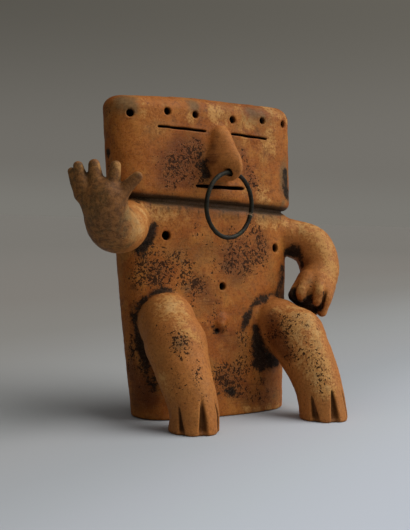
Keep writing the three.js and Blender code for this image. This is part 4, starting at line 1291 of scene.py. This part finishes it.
# the cut ends are slightly rounded
ends = np.minimum(s, 1 - s) * span * RING_R
radius = radius * np.sqrt(1 - np.clip(1 - ends / 0.7, 0, 1) ** 2 * 0.45)
th = np.linspace(0, 2 * math.pi, RING_SIDES, endpoint=False)
flat = 1 + 0.035 * wobble(s, 5, 40, 6)
centre = RING_CENTRE + out * (RING_R + bend)[:, None] + side * sway[:, None]
tube_v = (
    centre[:, None, :]
    + out[:, None, :] * (radius * flat)[:, None, None] * np.cos(th)[None, :, None]
    + side * (radius / flat)[:, None, None] * np.sin(th)[None, :, None]
).reshape(-1, 3)
i = np.arange(RING_STEPS - 1)[:, None] * RING_SIDES
j = np.arange(RING_SIDES)
j2 = (j + 1) % RING_SIDES
faces = np.stack([i + j, i + j2, i + RING_SIDES + j2, i + RING_SIDES + j], -1).reshape(-1, 4)
caps = []
extra = []
for k, first in ((0, True), (RING_STEPS - 1, False)):
    centre_id = len(tube_v) + len(extra)
    extra.append(centre[k])
    for n in range(RING_SIDES):
        p, q = k * RING_SIDES + n, k * RING_SIDES + (n + 1) % RING_SIDES
        caps.append([centre_id, q, p] if first else [centre_id, p, q])
ring_mesh = bpy.data.meshes.new("nose_ring_wire")
ring_mesh.from_pydata(
    (np.vstack([tube_v, extra]) / 1000.0).tolist(), [], faces.tolist() + caps
)
ring_mesh.validate()
ring_mesh.update()
ring_mesh.polygons.foreach_set("use_smooth", [True] * len(ring_mesh.polygons))
ring_mesh.materials.append(ring_material())
bare = np.zeros(len(ring_mesh.vertices))
bare[: RING_SIDES * 2] = 0.8
bare[RING_SIDES * (RING_STEPS - 2) : RING_SIDES * RING_STEPS] = 0.8
bare[-2:] = 1.0
attribute(ring_mesh, "bare", bare)
ring = bpy.data.objects.new("nose_ring_wire", ring_mesh)
bpy.context.scene.collection.objects.link(ring)
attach(ring, "root")
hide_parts("nose_ring")

# ---------------------------------------------------------------- floor
# a pool of light is painted on the pale table: brightest along a broad band in front of the figure, fading with
# distance
LIT_SPOT, LIT_ALONG, LIT_ACROSS = (-0.10, -1.60, 0.0), (0.26, 0.15, 0.0), (-0.5, 0.866, 0.0)
FLOOR_STOPS = [
    (0.0, (204, 213, 227)), (1.0, (130, 128, 124)), (0.27, (204, 213, 227)),
    (0.285, (201, 209, 221)), (0.295, (197, 205, 216)), (0.303, (193, 201, 210)),
    (0.315, (186, 192, 201)), (0.325, (178, 184, 191)), (0.335, (172, 177, 183)),
    (0.35, (169, 172, 176)), (0.37, (164, 167, 169)), (0.43, (148, 148, 147)),
    (0.46, (142, 141, 138)), (0.55, (137, 134, 130)),
]
WORLD_STOPS = [
    (0.0, (121, 119, 113)), (1.0, (72, 68, 62)), (0.05, (113, 110, 104)), (0.20, (94, 91, 84)),
]
ROOM_SIDE = 0.75
LAMPS = [
    ("key", 86, 44, 62, 2.80, (1.0, 0.975, 0.94)),
    ("top", 0, 74, 70, 0.50, (0.98, 0.99, 1.0)),
]

fl = Tree("floor")
away = fl.node("ShaderNodeVectorMath", 0, {"operation": "SUBTRACT"}, _0=fl.pos, _1=LIT_SPOT)
along = fl.node("ShaderNodeVectorMath", "Value", {"operation": "DOT_PRODUCT"}, _0=away, _1=LIT_ALONG)
over = fl.node("ShaderNodeVectorMath", "Value", {"operation": "DOT_PRODUCT"}, _0=away, _1=LIT_ACROSS)
dist = fl.math("SQRT", fl.math("MULTIPLY_ADD", along, along, fl.math("MULTIPLY", over, over)))
far = fl.node("ShaderNodeVectorMath", "Value", {"operation": "LENGTH"}, _0=fl.pos)
dist = fl.math("MAXIMUM", dist, fl.math("MULTIPLY", far, 0.75))
fall = fl.node("ShaderNodeValToRGB", 0, Fac=fl.math("DIVIDE", dist, 4.0))
ramp = fall.node.color_ramp  # stops by distance, over 4 m
ramp.interpolation = "LINEAR"
for k, (at, c) in enumerate(FLOOR_STOPS):
    e = ramp.elements[k] if k < 2 else ramp.elements.new(at)
    e.position, e.color = at, rgb(*c)
fl.put(fl.bsdf.inputs["Base Color"], fall)
fl.bsdf.inputs["Roughness"].default_value = 0.75
fl.bsdf.inputs["Specular IOR Level"].default_value = 0.2
n = 180
ringp = [(30 * math.cos(2 * math.pi * k / n), 30 * math.sin(2 * math.pi * k / n), 0.0) for k in range(n)]
floor_mesh = bpy.data.meshes.new("floor")
floor_mesh.from_pydata(ringp, [], [list(range(n))])
floor_mesh.materials.append(fl.mat)
floor = bpy.data.objects.new("floor", floor_mesh)
bpy.context.scene.collection.objects.link(floor)

# ---------------------------------------------------------------- light
world = bpy.data.worlds.new("studio")
bpy.context.scene.world = world
world.use_nodes = True
wt = world.node_tree
bg = wt.nodes["Background"]
coord = wt.nodes.new("ShaderNodeTexCoord")
sep = wt.nodes.new("ShaderNodeSeparateXYZ")
wt.links.new(coord.outputs["Generated"], sep.inputs[0])
wr = wt.nodes.new("ShaderNodeValToRGB")
wt.links.new(sep.outputs["Z"], wr.inputs[0])
wr.color_ramp.interpolation = "EASE"
for k, (at, c) in enumerate(WORLD_STOPS):
    e = wr.color_ramp.elements[k] if k < 2 else wr.color_ramp.elements.new(at)
    e.position, e.color = at, rgb(*c)
# the room is a little brighter on the lamps' side, more so high up
across = wt.nodes.new("ShaderNodeVectorMath")
across.operation = "DOT_PRODUCT"
wt.links.new(coord.outputs["Generated"], across.inputs[0])
across.inputs[1].default_value = level
rise = wt.nodes.new("ShaderNodeMapRange")
wt.links.new(sep.outputs["Z"], rise.inputs["Value"])
rise.inputs["From Max"].default_value, rise.inputs["To Max"].default_value = 0.20, ROOM_SIDE
gain = wt.nodes.new("ShaderNodeMath")
gain.operation = "MULTIPLY_ADD"
wt.links.new(across.outputs["Value"], gain.inputs[0])
wt.links.new(rise.outputs[0], gain.inputs[1])
gain.inputs[2].default_value = 1.0
clip = wt.nodes.new("ShaderNodeClamp")
wt.links.new(gain.outputs[0], clip.inputs[0])
clip.inputs[1].default_value, clip.inputs[2].default_value = 0.7, 1.3
shade = wt.nodes.new("ShaderNodeVectorMath")
shade.operation = "SCALE"
wt.links.new(wr.outputs[0], shade.inputs[0])
wt.links.new(clip.outputs[0], shade.inputs["Scale"])
wt.links.new(shade.outputs[0], bg.inputs[0])
bg.inputs[1].default_value = 1.0


def sunlight(name, bearing, up, angle, strength, colour):
    """Light through a wide soft panel far away; bearing is to the right of the camera's place."""
    yaw = CAM_YAW + math.pi - math.radians(bearing)
    up = math.radians(up)
    d = Vector((math.sin(yaw) * math.cos(up), math.cos(yaw) * math.cos(up), math.sin(up)))
    data = bpy.data.lights.new(name, "SUN")
    data.angle, data.energy, data.color = math.radians(angle), strength, colour
    obj = bpy.data.objects.new(name, data)
    bpy.context.scene.collection.objects.link(obj)
    obj.location = Vector((0, 0, 0.15)) + d * 2.0
    obj.rotation_euler = (-d).to_track_quat("-Z", "Y").to_euler()
    return obj


for spec in LAMPS:
    sunlight(*spec)

scene = bpy.context.scene
scene.view_settings.view_transform = "Standard"
scene.view_settings.look = "None"
